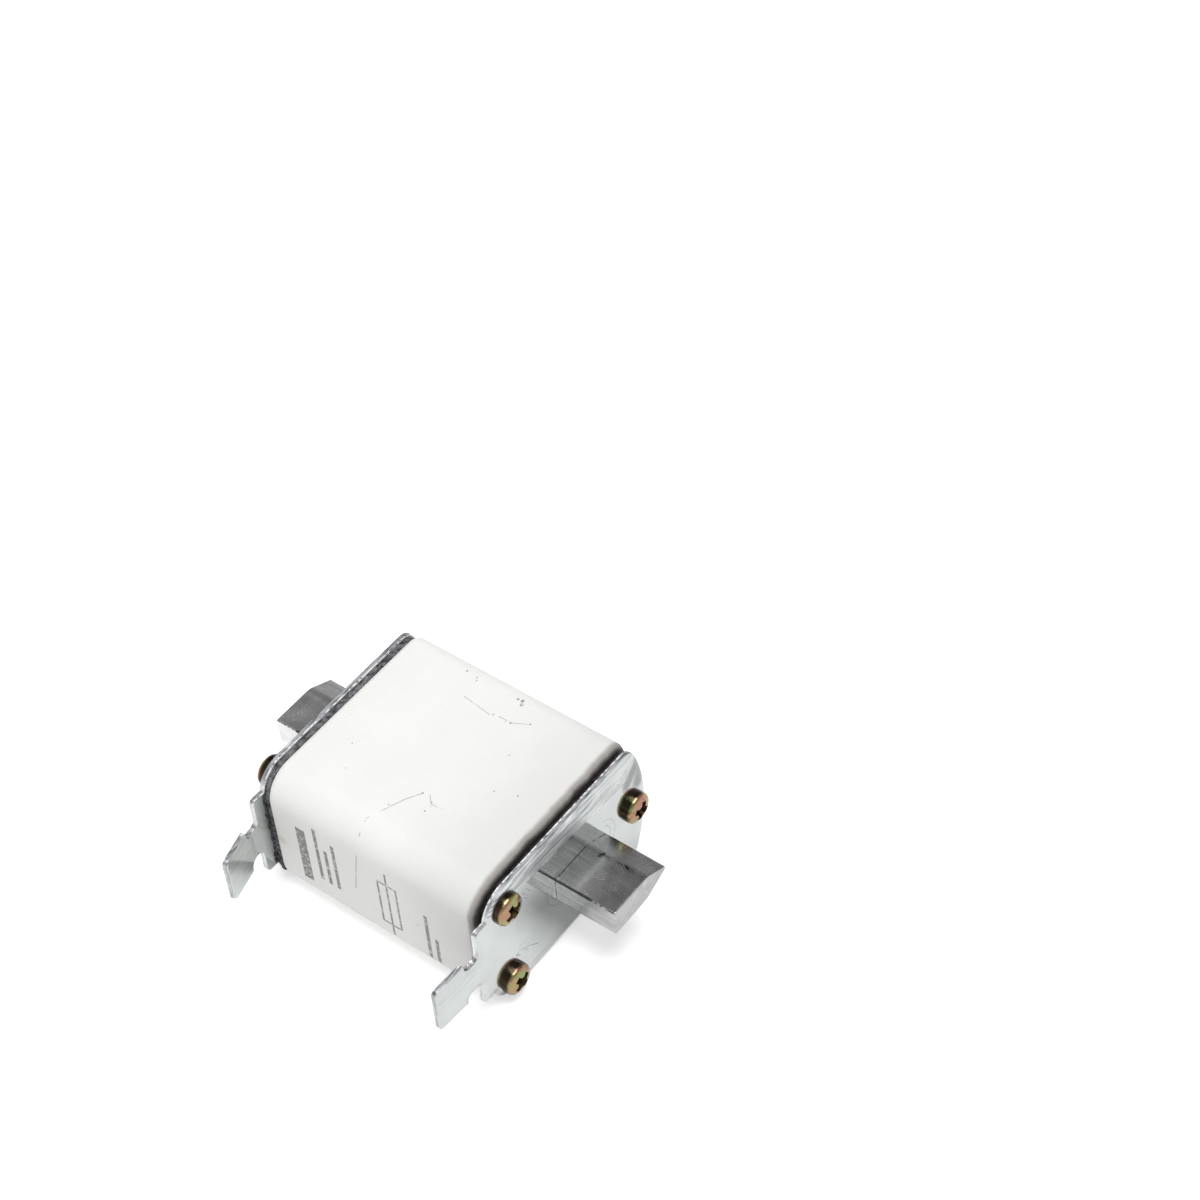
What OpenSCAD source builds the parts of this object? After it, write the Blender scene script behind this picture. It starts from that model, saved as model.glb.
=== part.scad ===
// Blade-contact fuse link, size 00, lying on one large side of its ceramic body.
// X runs along the two blades, Y points from the pulling lugs to the knife edges,
// Z is up. The origin lies on the resting side, below the middle of the blades.
// All sizes are in millimetres.

/* [Overall] */
// Length over the two blade tips
overall_l = 78.5; // [77:0.5:82]
// Length over the outer faces of the two end plates
plates_over = 52.5; // [50:0.5:54]

/* [Ceramic body] */
// Thickness of the body, which is its height as it lies
body_thick = 30; // [29:0.5:33]
// From the blades' centre line to the flat front, on the lug side
body_front = 26.3; // [25.5:0.1:28]
// From the blades' centre line to the crown of the back
body_back = 20; // [19.5:0.1:22]
// Radius of the bulged back
crown_r = 34.5; // [28:0.5:60]
// Radius of the two long front corners
front_corner_r = 6.5; // [5.5:0.1:7]
// Radius of the two long back corners
back_corner_r = 3.5; // [3:0.1:5]
// Rounding of the edge round each end
end_edge_r = 1.5; // [0.8:0.1:2]

/* [Sand cavity] */
// Thickness of the two large walls
side_wall = 5; // [4.5:0.1:6]
// Thickness of the front wall
front_wall = 9; // [8:0.1:10]
// Thickness of the back wall, which holds one screw at each end
back_wall = 8.5; // [8:0.1:9.5]
// Corner radius of the cavity
cavity_r = 6; // [3:0.1:8]
// Gap round the settled sand
sand_gap = 0.1; // [0.05:0.01:0.3]

/* [End plates] */
// Thickness of an end plate
plate_t = 1.5; // [1.2:0.1:2]
// How far the plate's outline stays inside the body's outline
plate_inset = 0.45; // [0.2:0.05:0.8]
// Length of the coined outline round the blade
coin_l = 20.4; // [19:0.1:22]
// Width of the coined outline round the blade
coin_w = 9.2; // [8.4:0.1:11]
// Width of the coined line
coin_line = 0.3; // [0.2:0.05:0.5]
// Depth of the coined line
coin_depth = 0.12; // [0.05:0.01:0.3]

/* [Pulling lugs] */
// Width of the shoulder that carries the lug
tab_w = 20; // [16:0.5:22]
// From the blades' centre line to the shoulder's edge
tab_reach = 28.6; // [27.5:0.1:30]
// Radius of the shoulder's two outer corners
tab_r = 1; // [0.5:0.1:2]
// Width of the lug's neck
neck_w = 6.8; // [5:0.1:8]
// Height of the notch on each side of the neck
notch_h = 3.7; // [3.4:0.1:5]
// Corner radius inside the notch
notch_r = 1.4; // [1:0.1:1.6]
// Width of the lug's head
head_w = 10.7; // [9:0.1:13]
// Height of the lug's head
head_h = 7.3; // [6:0.1:10]
// Radius of the head's outer corners
head_r = 1; // [0.3:0.1:2]
// Inner radius of the bend in the neck
bend_r = 1.2; // [0.5:0.1:2]
// How much each face of the sheet sinks where it is bent
bend_relief = 0.03; // [0.01:0.01:0.1]
// How far the left lug leans in, in degrees
left_lean_angle = 15; // [1:1:20]
// How far the right lug leans in, in degrees
right_lean_angle = 3; // [1:1:20]

/* [Gaskets] */
// Thickness of a gasket
gasket_t = 1; // [0.6:0.1:1.4]
// How far the gasket's outline stays inside the plate's outline
gasket_inset = 0.25; // [0.1:0.05:0.6]
// Gap between the gasket's window and the staked collar
window_gap = 0.3; // [0.1:0.05:0.8]

/* [Blades] */
// Width of a blade, from its square edge to its knife edge
blade_w = 15; // [14:0.5:17]
// Thickness of a blade
blade_t = 6; // [5.8:0.1:6.2]
// Width of the bevel that runs to the knife edge
bevel_w = 5.5; // [4:0.1:7]
// Thickness left at the knife edge
edge_t = 0.7; // [0.3:0.1:1.5]
// Radius where the flat turns into the bevel
bevel_r = 4; // [1:0.5:6]
// Radius of the two corners on the square edge
square_edge_r = 0.3; // [0.1:0.05:0.6]
// Width of the tenon that passes through the plate
tenon_w = 8.5; // [6:0.5:9]
// Thickness of the tenon
tenon_t = 4.4; // [3:0.1:5]
// Gap between the tenon and the slot in the plate
slot_gap = 0.05; // [0.02:0.01:0.2]
// How far the staked collar stands out round the tenon
collar_lip = 1; // [0.5:0.1:1.5]
// Length of the inner tongue
tongue_l = 8; // [6:0.5:10]
// Width of the inner tongue
tongue_w = 10; // [6:0.5:10]
// Thickness of the inner tongue
tongue_t = 2.4; // [1.5:0.1:3]

/* [Screws] */
// From the blades' centre line to the two front screws
screw_front = 21; // [20.5:0.1:22]
// Half the distance between the two front screws
screw_half = 10.3; // [9.5:0.1:10.8]
// From the blades' centre line to the back screw
screw_back = 15.5; // [15:0.1:16]
// Diameter of a screw's shank
shank_d = 3.3; // [2.6:0.1:3.5]
// Length of a screw under its head
shank_l = 12; // [8:0.5:14]
// Length of the point
point_l = 2; // [1:0.1:3]
// Diameter of the point's blunt tip
point_d = 1.1; // [0.6:0.1:1.6]
// Diameter of the head
screw_head_d = 6.3; // [5.6:0.1:7]
// Height of the head's straight rim
rim_h = 1.3; // [0.8:0.1:1.8]
// Height of the dome above the rim
dome_h = 0.9; // [0.5:0.1:1.2]
// Length of each slot of the cross recess
cross_l = 4.2; // [3:0.1:4.8]
// Width of each slot of the cross recess
cross_w = 1; // [0.7:0.05:1.3]
// Depth of the cross recess
cross_depth = 1.5; // [0.8:0.1:1.8]
// Gap round the shank in the plate and the gasket
clearance_gap = 0.2; // [0.1:0.05:0.4]
// Gap round the shank in the ceramic
pilot_gap = 0.05; // [0.02:0.01:0.15]
// Free depth of the hole past the screw's point
pilot_spare = 1.5; // [0.5:0.1:4]

/* [Fuse element] */
// Width of the melting strip
strip_w = 6; // [4:0.5:8]
// Thickness of the melting strip
strip_t = 0.3; // [0.2:0.05:0.6]
// Length of strip welded to each tongue
weld_l = 5; // [2:0.5:6]
// Number of rows of holes across the strip
neck_rows = 5; // [3:1:5]
// Distance between two rows
neck_pitch = 5.4; // [3.5:0.1:5.6]
// Diameter of the holes and edge notches
neck_hole_d = 2; // [1:0.1:2.4]
// Length of the solder bridge along the strip
solder_l = 2.2; // [1:0.1:3]
// Height of the solder bridge
solder_h = 0.6; // [0.3:0.1:1.2]

/* [Filling plug] */
// From the blades' centre line to the filling hole in the left plate
fill_y = 14.2; // [13.6:0.1:15]
// Diameter of the filling hole
fill_d = 5; // [3:0.1:5.4]
// Diameter of the plug's rim
plug_rim_d = 6.6; // [5.8:0.1:7]
// Height of the plug's rim
plug_rim_h = 0.5; // [0.3:0.1:1]
// Height of the plug's crown above its rim
plug_crown_h = 0.4; // [0.2:0.1:0.8]
// Gap round the plug in the plate
plug_gap = 0.05; // [0.02:0.01:0.15]

/* [Hidden] */
$fn = 48;
crown_fn = 180;
dome_fn = 96;
// Length by which a cutter, or a form hidden in its neighbour, runs on.
cut = 1;
mid_z = body_thick / 2;
plate_out = plates_over / 2;
plate_in = plate_out - plate_t;
body_end = plate_in - gasket_t;
body_l = 2 * body_end;
blade_tip = overall_l / 2;
tongue_end = body_end - tongue_l;
cavity_front = body_front - front_wall;
cavity_back = body_back - back_wall;
cavity_half = body_thick / 2 - side_wall;
head_in = tab_reach + notch_h;
// The flat part and the lug stop this far short of the bend, and a thinner strip joins them.
bend_gap = notch_h / 38;
// Length by which the strip runs on inside both.
bend_lap = notch_h / 5;
// Largest turn between two facets of the bend, in degrees.
bend_step_angle = 3;
// The bend starts where the neck has come down to its plain width.
bend_y = tab_reach + notch_r + bend_gap;
crown_place = body_back - crown_r;
front_flat = body_front - front_corner_r;
// Tenon, collar, tongue and strip stand on the flat part of the blade, clear of its bevel.
inner_y = -bevel_w / 2;
// The strip lies on one face of both tongues.
strip_low = mid_z + tongue_t / 2;
// The back corners touch the crown. They stand 0.004 to 0.014 proud of that place, on a
// whole hundredth, so that the arcs cross.
back_touch = crown_place
    + sqrt(pow(crown_r - back_corner_r, 2) - pow(body_thick / 2 - back_corner_r, 2));
back_flat = ceil(100 * back_touch + 0.4) / 100;
screw_places = [[-screw_front, -screw_half], [-screw_front, screw_half], [screw_back, 0]];

// Everything at one end is drawn for the right end and mirrored for the left one.
module at_end(left) {
    mirror([left ? 1 : 0, 0, 0]) children();
}

// Extrudes an outline drawn in Y and Z, about the blades' centre line, along X.
module along_x(from, to) {
    translate([from, 0, mid_z])
        rotate([90, 0, 90])
            linear_extrude(to - from) children();
}

// A cylinder along X on the place p = [y, z], measured from the blades' centre line.
module rod_x(p, d, from, to) {
    translate([from, p[0], mid_z + p[1]])
        rotate([0, 90, 0])
            cylinder(h = to - from, d = d);
}

// Wedge from the crown's centre through the centres of both back corners.
module crown_wedge() {
    reach = 2 * (back_flat - crown_place);
    half = 2 * (body_thick / 2 - back_corner_r);
    translate([crown_place, 0])
        polygon([[0, 0], [reach, -half], [reach, half]]);
}

// Outline of the body, drawn inwards by inset: flat front and sides, bulged back.
module body_outline(inset) {
    half = body_thick / 2 - inset;
    front_r = front_corner_r - inset;
    back_r = back_corner_r - inset;
    translate([-front_flat, -half])
        square([front_flat + back_flat, 2 * half]);
    translate([-front_flat - front_r, front_r - half])
        square([front_r + cut, 2 * (half - front_r)]);
    for (side = [-1, 1]) {
        translate([-front_flat, side * (half - front_r)]) circle(front_r);
        translate([back_flat, side * (half - back_r)]) circle(back_r);
    }
    intersection() {
        translate([crown_place, 0]) circle(crown_r - inset, $fn = crown_fn);
        crown_wedge();
    }
}

// Rectangle l by h whose four corners are rounded.
module rounded_rectangle(l, h, r) {
    square([l - 2 * r, h], center = true);
    square([l, h - 2 * r], center = true);
    for (x = [r - l / 2, l / 2 - r], y = [r - h / 2, h / 2 - r])
        translate([x, y]) circle(r);
}

// Disc across X at p = [y, z] whose two rims are rounded like the body's ends.
module rounded_disc(p, r) {
    translate([0, p[0], mid_z + p[1]])
        rotate([0, 90, 0])
            rotate_extrude($fn = crown_fn)
                intersection() {
                    rounded_rectangle(2 * r, body_l, end_edge_r);
                    translate([0, -body_l]) square([2 * r, 2 * body_l]);
                }
}

// The body's outline along X, with the edge round each end rounded.
module rounded_body() {
    corner_z = body_thick / 2 - back_corner_r;
    flat_z = body_thick / 2 - front_corner_r;
    translate([0, -front_flat, mid_z])
        rotate([-90, 0, 0])
            linear_extrude(front_flat + back_flat)
                rounded_rectangle(body_l, body_thick, end_edge_r);
    translate([0, -front_flat, mid_z - flat_z])
        linear_extrude(2 * flat_z)
            rounded_rectangle(body_l, 2 * front_corner_r, end_edge_r);
    for (side = [-1, 1]) {
        rounded_disc([-front_flat, side * flat_z], front_corner_r);
        rounded_disc([back_flat, side * corner_z], back_corner_r);
    }
    intersection() {
        rounded_disc([crown_place, 0], crown_r);
        along_x(-body_end - cut, body_end + cut) crown_wedge();
    }
}

// Outline of the sand cavity, drawn inwards by inset.
module cavity_outline(inset) {
    l = cavity_front + cavity_back - 2 * inset;
    h = 2 * (cavity_half - inset);
    translate([(cavity_back - cavity_front) / 2, 0])
        rounded_rectangle(l, h, cavity_r - inset);
}

module ceramic_body() {
    color("ivory")
        difference() {
            rounded_body();
            along_x(-body_end - cut, body_end + cut) cavity_outline(0);
            for (left = [false, true])
                at_end(left)
                    for (p = screw_places)
                        rod_x(p, shank_d + 2 * pilot_gap,
                            plate_out - shank_l - pilot_spare, body_end + cut);
        }
}

// Section w by h of what carries the current through the plate.
module inner_section(w, h) {
    translate([inner_y, 0]) square([w, h], center = true);
}

// Holes across the strip leave two narrow necks in every row.
module element_strip() {
    half_l = tongue_end + weld_l;
    difference() {
        translate([-half_l, inner_y - strip_w / 2, strip_low])
            cube([2 * half_l, strip_w, strip_t]);
        for (row = [0 : neck_rows - 1], y = [-strip_w / 2, 0, strip_w / 2])
            translate([(row - (neck_rows - 1) / 2) * neck_pitch, inner_y + y, strip_low - cut])
                cylinder(h = strip_t + 2 * cut, d = neck_hole_d);
    }
}

// The solder lies between the middle row and the next one to the right.
module solder_pad() {
    translate([(neck_pitch - solder_l) / 2, inner_y - strip_w / 2, strip_low + strip_t])
        cube([solder_l, strip_w, solder_h]);
}

module fuse_element() {
    color("goldenrod") element_strip();
}

module solder_bridge() {
    color("silver") solder_pad();
}

module quartz_sand() {
    color("wheat")
        difference() {
            along_x(sand_gap - body_end, body_end - sand_gap) cavity_outline(sand_gap);
            element_strip();
            solder_pad();
            for (left = [false, true]) at_end(left) tongue();
        }
}

// Gasket between the body's end and the plate, with a window for the staked collar.
module gasket(left) {
    inset = plate_inset + gasket_inset;
    window_w = tenon_w + 2 * (collar_lip + window_gap);
    window_h = tenon_t + 2 * (collar_lip + window_gap);
    color("dimgray")
        at_end(left)
            difference() {
                along_x(body_end, plate_in) body_outline(inset);
                along_x(body_end - cut, plate_in + cut) inner_section(window_w, window_h);
                for (p = screw_places)
                    rod_x(p, shank_d + 2 * clearance_gap, body_end - cut, plate_in + cut);
                if (left)
                    rod_x([-fill_y, 0], fill_d + 2 * plug_gap, body_end - cut, plate_in + cut);
            }
}

module gasket_left() {
    gasket(true);
}

module gasket_right() {
    gasket(false);
}

// Fills the corner between the neck and what it meets at y = 0, towards negative y.
module neck_fillets() {
    for (side = [-1, 1])
        translate([0, side * neck_w / 2])
            difference() {
                translate([-notch_r, side > 0 ? -cut : -notch_r])
                    square([notch_r + cut, notch_r + cut]);
                translate([-notch_r, side * notch_r]) circle(notch_r);
            }
}

// The flat part of the plate, as far as its bend.
module plate_outline() {
    body_outline(plate_inset);
    translate([-(tab_reach + front_flat) / 2, 0])
        rounded_rectangle(tab_reach - front_flat, tab_w, tab_r);
    translate([-tab_reach - notch_r, -neck_w / 2])
        square([notch_r + cut, neck_w]);
    translate([-tab_reach, 0]) neck_fillets();
}

// Length of flat neck that the bend takes up, which never reaches the head's fillets.
function bend_length(lean) =
    min(lean * PI / 180 * (bend_r + plate_t / 2), notch_h - 2 * (notch_r + bend_gap));

// The flat pattern of the lug, from y = -start outwards.
module lug_outline(start) {
    translate([-head_in - cut, -neck_w / 2])
        square([head_in + cut - start, neck_w]);
    translate([-head_in, 0]) mirror([1, 0]) neck_fillets();
    translate([-head_in - head_h / 2, 0])
        rounded_rectangle(head_h, head_w, head_r);
    translate([-head_in - head_h / 2, -head_w / 2])
        square([head_h / 2, head_w]);
}

// Side view of the bent stretch of the neck, from inside the flat part to inside the lug.
module bend_section(lean) {
    steps = ceil(lean / bend_step_angle);
    turns = [for (i = [0 : steps]) -lean * i / steps];
    inner = bend_r + bend_relief;
    outer = bend_r + plate_t - bend_relief;
    along = bend_lap * [-sin(lean), -cos(lean)];
    end = [cos(lean), -sin(lean)];
    polygon(concat(
        [[inner, bend_lap]],
        [for (a = turns) inner * [cos(a), sin(a)]],
        [inner * end + along, outer * end + along],
        [for (i = [steps : -1 : 0]) outer * [cos(turns[i]), sin(turns[i])]],
        [[outer, bend_lap]]));
}

// Shallow line, shaped as a slot with round ends, that the staking tool leaves.
module coined_line() {
    difference() {
        slot_outline(coin_l, coin_w);
        slot_outline(coin_l - 2 * coin_line, coin_w - 2 * coin_line);
    }
}

module slot_outline(l, w) {
    square([l - w, w], center = true);
    for (x = [w - l, l - w])
        translate([x / 2, 0]) circle(w / 2);
}

// Stamped plate with a T-shaped lug that is bent inwards in its neck.
module end_plate(left, lean) {
    bend_end = bend_y + bend_length(lean);
    color("lightsteelblue")
        at_end(left) {
            difference() {
                along_x(plate_in, plate_out) plate_outline();
                along_x(plate_in - cut, plate_out + cut)
                    inner_section(tenon_w + 2 * slot_gap, tenon_t + 2 * slot_gap);
                along_x(plate_out - coin_depth, plate_out + cut) coined_line();
                for (p = screw_places)
                    rod_x(p, shank_d + 2 * clearance_gap, plate_in - cut, plate_out + cut);
                if (left)
                    rod_x([-fill_y, 0], fill_d + 2 * plug_gap, plate_in - cut, plate_out + cut);
            }
            translate([plate_in - bend_r, -bend_y, mid_z]) {
                translate([0, 0, -neck_w / 2])
                    linear_extrude(neck_w) bend_section(lean);
                rotate([0, 0, -lean])
                    translate([bend_r - plate_in, bend_end, -mid_z])
                        along_x(plate_in, plate_out) lug_outline(bend_end + bend_gap);
            }
        }
}

module end_plate_left() {
    end_plate(true, left_lean_angle);
}

module end_plate_right() {
    end_plate(false, right_lean_angle);
}

// Blade section: square edge at negative y, bevelled to a knife edge at positive y.
module blade_outline() {
    half_w = blade_w / 2;
    half_t = blade_t / 2;
    bevel_in = half_w - bevel_w;
    bevel_angle = atan((blade_t - edge_t) / 2 / bevel_w);
    reach = bevel_r * tan(bevel_angle / 2);
    difference() {
        polygon([[-half_w, -half_t], [bevel_in, -half_t], [half_w, -edge_t / 2],
            [half_w, edge_t / 2], [bevel_in, half_t], [-half_w, half_t]]);
        for (side = [-1, 1]) {
            difference() {
                polygon([[bevel_in - reach, side * half_t],
                    [bevel_in, side * (half_t + cut)],
                    [bevel_in + reach * cos(bevel_angle),
                        side * (half_t - reach * sin(bevel_angle))]]);
                translate([bevel_in - reach, side * (half_t - bevel_r)])
                    circle(bevel_r, $fn = dome_fn);
            }
            translate([-half_w, side * half_t])
                difference() {
                    square(2 * square_edge_r, center = true);
                    translate([square_edge_r, -side * square_edge_r]) circle(square_edge_r);
                }
        }
    }
}

// Inner tongue of a blade, from the body's end inwards.
module tongue() {
    along_x(tongue_end, body_end) inner_section(tongue_w, tongue_t);
}

// Copper blade: contact, tenon through the plate, staked collar and inner tongue.
module blade(left) {
    color("gray")
        at_end(left) {
            along_x(plate_out, blade_tip) blade_outline();
            along_x(plate_in, plate_out) inner_section(tenon_w, tenon_t);
            along_x(body_end, plate_in)
                inner_section(tenon_w + 2 * collar_lip, tenon_t + 2 * collar_lip);
            tongue();
        }
}

module blade_left() {
    blade(true);
}

module blade_right() {
    blade(false);
}

// Round head of diameter d on z = 0: a straight rim of height rim under a dome.
module domed_head(d, rim, dome) {
    dome_r = (pow(d / 2, 2) + pow(dome, 2)) / (2 * dome);
    intersection() {
        cylinder(h = rim + dome + cut, d = d);
        translate([0, 0, rim + dome - dome_r]) sphere(dome_r, $fn = dome_fn);
    }
}

// Pan-head screw with a cross recess, its shank pointing inwards.
module screw(left, p) {
    color("darkkhaki")
        at_end(left)
            translate([plate_out, p[0], mid_z + p[1]])
                rotate([0, 90, 0])
                    difference() {
                        union() {
                            domed_head(screw_head_d, rim_h, dome_h);
                            translate([0, 0, point_l - shank_l])
                                cylinder(h = shank_l - point_l, d = shank_d);
                            translate([0, 0, -shank_l])
                                cylinder(h = point_l, d1 = point_d, d2 = shank_d);
                        }
                        for (turn = [0, 90])
                            rotate([0, 0, turn])
                                translate([-cross_l / 2, -cross_w / 2, rim_h + dome_h - cross_depth])
                                    cube([cross_l, cross_w, cross_depth + cut]);
                    }
}

module screw_left_low() {
    screw(true, screw_places[0]);
}

module screw_left_high() {
    screw(true, screw_places[1]);
}

module screw_left_back() {
    screw(true, screw_places[2]);
}

module screw_right_low() {
    screw(false, screw_places[0]);
}

module screw_right_high() {
    screw(false, screw_places[1]);
}

module screw_right_back() {
    screw(false, screw_places[2]);
}

// Pressed plug that closes the hole through which the sand is poured.
module filling_plug() {
    color("silver")
        at_end(true)
            translate([0, -fill_y, mid_z])
                rotate([0, 90, 0]) {
                    translate([0, 0, body_end])
                        cylinder(h = plate_out - body_end, d = fill_d);
                    translate([0, 0, plate_out])
                        domed_head(plug_rim_d, plug_rim_h, plug_crown_h);
                }
}

ceramic_body();
quartz_sand();
fuse_element();
solder_bridge();
gasket_left();
gasket_right();
end_plate_left();
end_plate_right();
blade_left();
blade_right();
filling_plug();
screw_left_low();
screw_left_high();
screw_left_back();
screw_right_low();
screw_right_high();
screw_right_back();
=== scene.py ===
import math
import random

import bmesh
import bpy
from mathutils import Matrix, Vector
from mathutils.geometry import delaunay_2d_cdt


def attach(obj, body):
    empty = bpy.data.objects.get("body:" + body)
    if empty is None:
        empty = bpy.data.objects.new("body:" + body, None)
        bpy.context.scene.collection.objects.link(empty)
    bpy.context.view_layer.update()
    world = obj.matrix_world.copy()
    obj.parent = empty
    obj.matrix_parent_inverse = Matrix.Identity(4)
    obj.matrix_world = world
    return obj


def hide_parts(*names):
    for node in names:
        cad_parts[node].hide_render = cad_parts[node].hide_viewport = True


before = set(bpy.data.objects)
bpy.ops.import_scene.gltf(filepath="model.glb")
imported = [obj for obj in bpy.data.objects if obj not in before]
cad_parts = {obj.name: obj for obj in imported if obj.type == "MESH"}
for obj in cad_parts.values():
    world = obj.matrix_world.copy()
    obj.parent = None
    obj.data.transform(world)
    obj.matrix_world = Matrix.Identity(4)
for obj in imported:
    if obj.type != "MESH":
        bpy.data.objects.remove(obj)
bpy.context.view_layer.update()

# Looks of a blade-contact fuse link, size 00. The outlines below are in millimetres, in the
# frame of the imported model: X along the blades, Y from the lugs to the knife edges, Z up.

MM = 0.001
MID_Z = 15.0
PLATE_OUT = 26.25
PLATE_IN = 24.75
BODY_END = 23.75
BLADE_TIP = 39.25

# The ceramic body, its cavity and its screw holes.
BODY_HALF = 15.0
BODY_FRONT = 26.3
BODY_BACK = 20.0
CROWN_R = 34.5
CROWN_Y = BODY_BACK - CROWN_R
FRONT_R = 6.5
BACK_R = 3.5
END_R = 1.5
END_ROWS = 6
BODY_ROWS = range(-20, 21, 4)
CAVITY_FRONT = 17.3
CAVITY_BACK = 11.5
CAVITY_HALF = 10.0
CAVITY_R = 6.0
PILOT_D = 3.4
PILOT_END = 12.75

# The end plates: their bent lugs, their rolled rims and the coined line round the blade.
PLATE_INSET = 0.45
TAB_HALF = 10.0
TAB_REACH = 28.6
TAB_R = 1.0
NECK_HALF = 3.4
NOTCH_H = 3.7
NOTCH_R = 1.4
HEAD_HALF = 5.35
HEAD_H = 7.3
HEAD_R = 1.0
BEND_R = 1.2
BEND_Y = -30.1
LEAN = {"left": math.radians(15), "right": math.radians(3)}
RIM_ROLL = 0.42
RIM_ROLL_WIDTH = 2.3
RIM_BURR = 0.12
RIM_RINGS = (0.0, 0.06, 0.14, 0.25, 0.4, 0.55)
RIM_POINTS = (0.75, 1.0, 1.3, 1.65, 2.0, 2.3)
COIN = (20.4, 9.2)
COIN_LINE = 0.3
COIN_DEPTH = 0.03

# The gaskets. Their cut edges are ragged, and the left one has a swollen place, its lip.
GASKET_INSET = {"left": 0.45, "right": 1.3}
GASKET_GAP = 0.004
GASKET_SEED = {"left": 5, "right": 9}
GASKET_WAVES = 5
GASKET_PITCH = 0.3
GASKET_RAG = 0.3
GASKET_ROUND = 0.12
GASKET_LAYERS = 7
WINDOW_GAP = 0.3
GASKET_LIP = 0.9
GASKET_LIP_PLACE = (-24.2, -11.5)
GASKET_LIP_REACH = 3.0

# The blades, each with its tenon in the plate, its collar behind it and its inner tongue.
BLADE_HALF_W = 7.5
BLADE_HALF_T = 3.0
BEVEL_W = 5.5
KNIFE_T = 0.7
BEVEL_R = 4.0
KNIFE_R = 0.2
SQUARE_R = 0.3
TIP_R = 0.22
TIP_ROWS = 4
TENON_Y = -BEVEL_W / 2
TENON = (8.5, 4.4)
TENON_R = 0.2
SLOT_GAP = 0.05
COLLAR = (10.5, 6.4)
COLLAR_R = 0.4
TONGUE = (10.0, 2.4)
TONGUE_END = 15.75

# The screws' places in each plate.
SCREW_FRONT = 21.0
SCREW_HALF = 10.3
SCREW_BACK = 15.5
SCREW_PLACES = [(-SCREW_FRONT, -SCREW_HALF), (-SCREW_FRONT, SCREW_HALF), (SCREW_BACK, 0.0)]
SCREW_HOLE_D = 3.7

# The filling hole in the left plate and its plug. The plug's edge is written as distances
# inside its rim and heights over the plate.
FILL_Y = 14.2
FILL_D = 5.0
FILL_HOLE_D = 5.1
PLUG_RIM_D = 6.6
PLUG_EDGE = [(0.06, 0.0), (0.0, 0.06), (0.0, 0.38), (0.05, 0.47), (0.14, 0.5), (0.75, 0.52)]
PLUG_CROWN_IN = 0.8
PLUG_CROWN_H = 0.4
PLUG_TOP = 0.9
PLUG_TOP_R = 0.12


def arc(centre, radius, start, stop, steps):
    """Points on a circle from start to stop degrees, both ends included."""
    angles = [math.radians(start + (stop - start) * i / steps) for i in range(steps + 1)]
    return [(centre[0] + radius * math.cos(a), centre[1] + radius * math.sin(a)) for a in angles]


def line(start, stop, steps):
    """Points between start and stop, without its two ends."""
    return [(start[0] + (stop[0] - start[0]) * i / steps,
             start[1] + (stop[1] - start[1]) * i / steps) for i in range(1, steps)]


def back_touch():
    """Y of the back corners' centres, where their arcs touch the crown."""
    return CROWN_Y + math.sqrt((CROWN_R - BACK_R) ** 2 - (BODY_HALF - BACK_R) ** 2)


def body_outline(inset, flat_steps=26):
    """Outline of the body drawn inwards: flat front and sides, bulged back."""
    front_r = FRONT_R - inset
    back_r = BACK_R - inset
    front_y = FRONT_R - BODY_FRONT
    front_z = BODY_HALF - FRONT_R
    back_y = back_touch()
    back_z = BODY_HALF - BACK_R
    half = BODY_HALF - inset
    crown = math.degrees(math.asin(back_z / (CROWN_R - BACK_R)))
    points = arc((front_y, front_z), front_r, 180, 90, 20)
    points += line((front_y, half), (back_y, half), flat_steps)
    points += arc((back_y, back_z), back_r, 90, crown, 12)
    points += arc((CROWN_Y, 0), CROWN_R - inset, crown, -crown, 24)[1:-1]
    points += arc((back_y, -back_z), back_r, -crown, -90, 12)
    points += line((back_y, -half), (front_y, -half), flat_steps)
    points += arc((front_y, -front_z), front_r, -90, -180, 20)
    points += line((front_y - front_r, -front_z), (front_y - front_r, front_z), 14)
    return points


def flipped(points):
    """The same points on the other side of the blades' line, in reverse order."""
    return [(y, -z) for y, z in reversed(points)]


def circle(centre, diameter, steps=32):
    """Points of a whole circle."""
    return arc(centre, diameter / 2, 0, 360, steps)[:-1]


def rounded_rectangle(centre, length, height, radius, steps=8):
    """Rectangle with round corners, length along Y and height along Z."""
    y = length / 2 - radius
    z = height / 2 - radius
    points = []
    for turn, side_y, side_z in ((0, 1, 1), (90, -1, 1), (180, -1, -1), (270, 1, -1)):
        corner = (centre[0] + side_y * y, centre[1] + side_z * z)
        points += arc(corner, radius, turn, turn + 90, steps)
    return points


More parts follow.
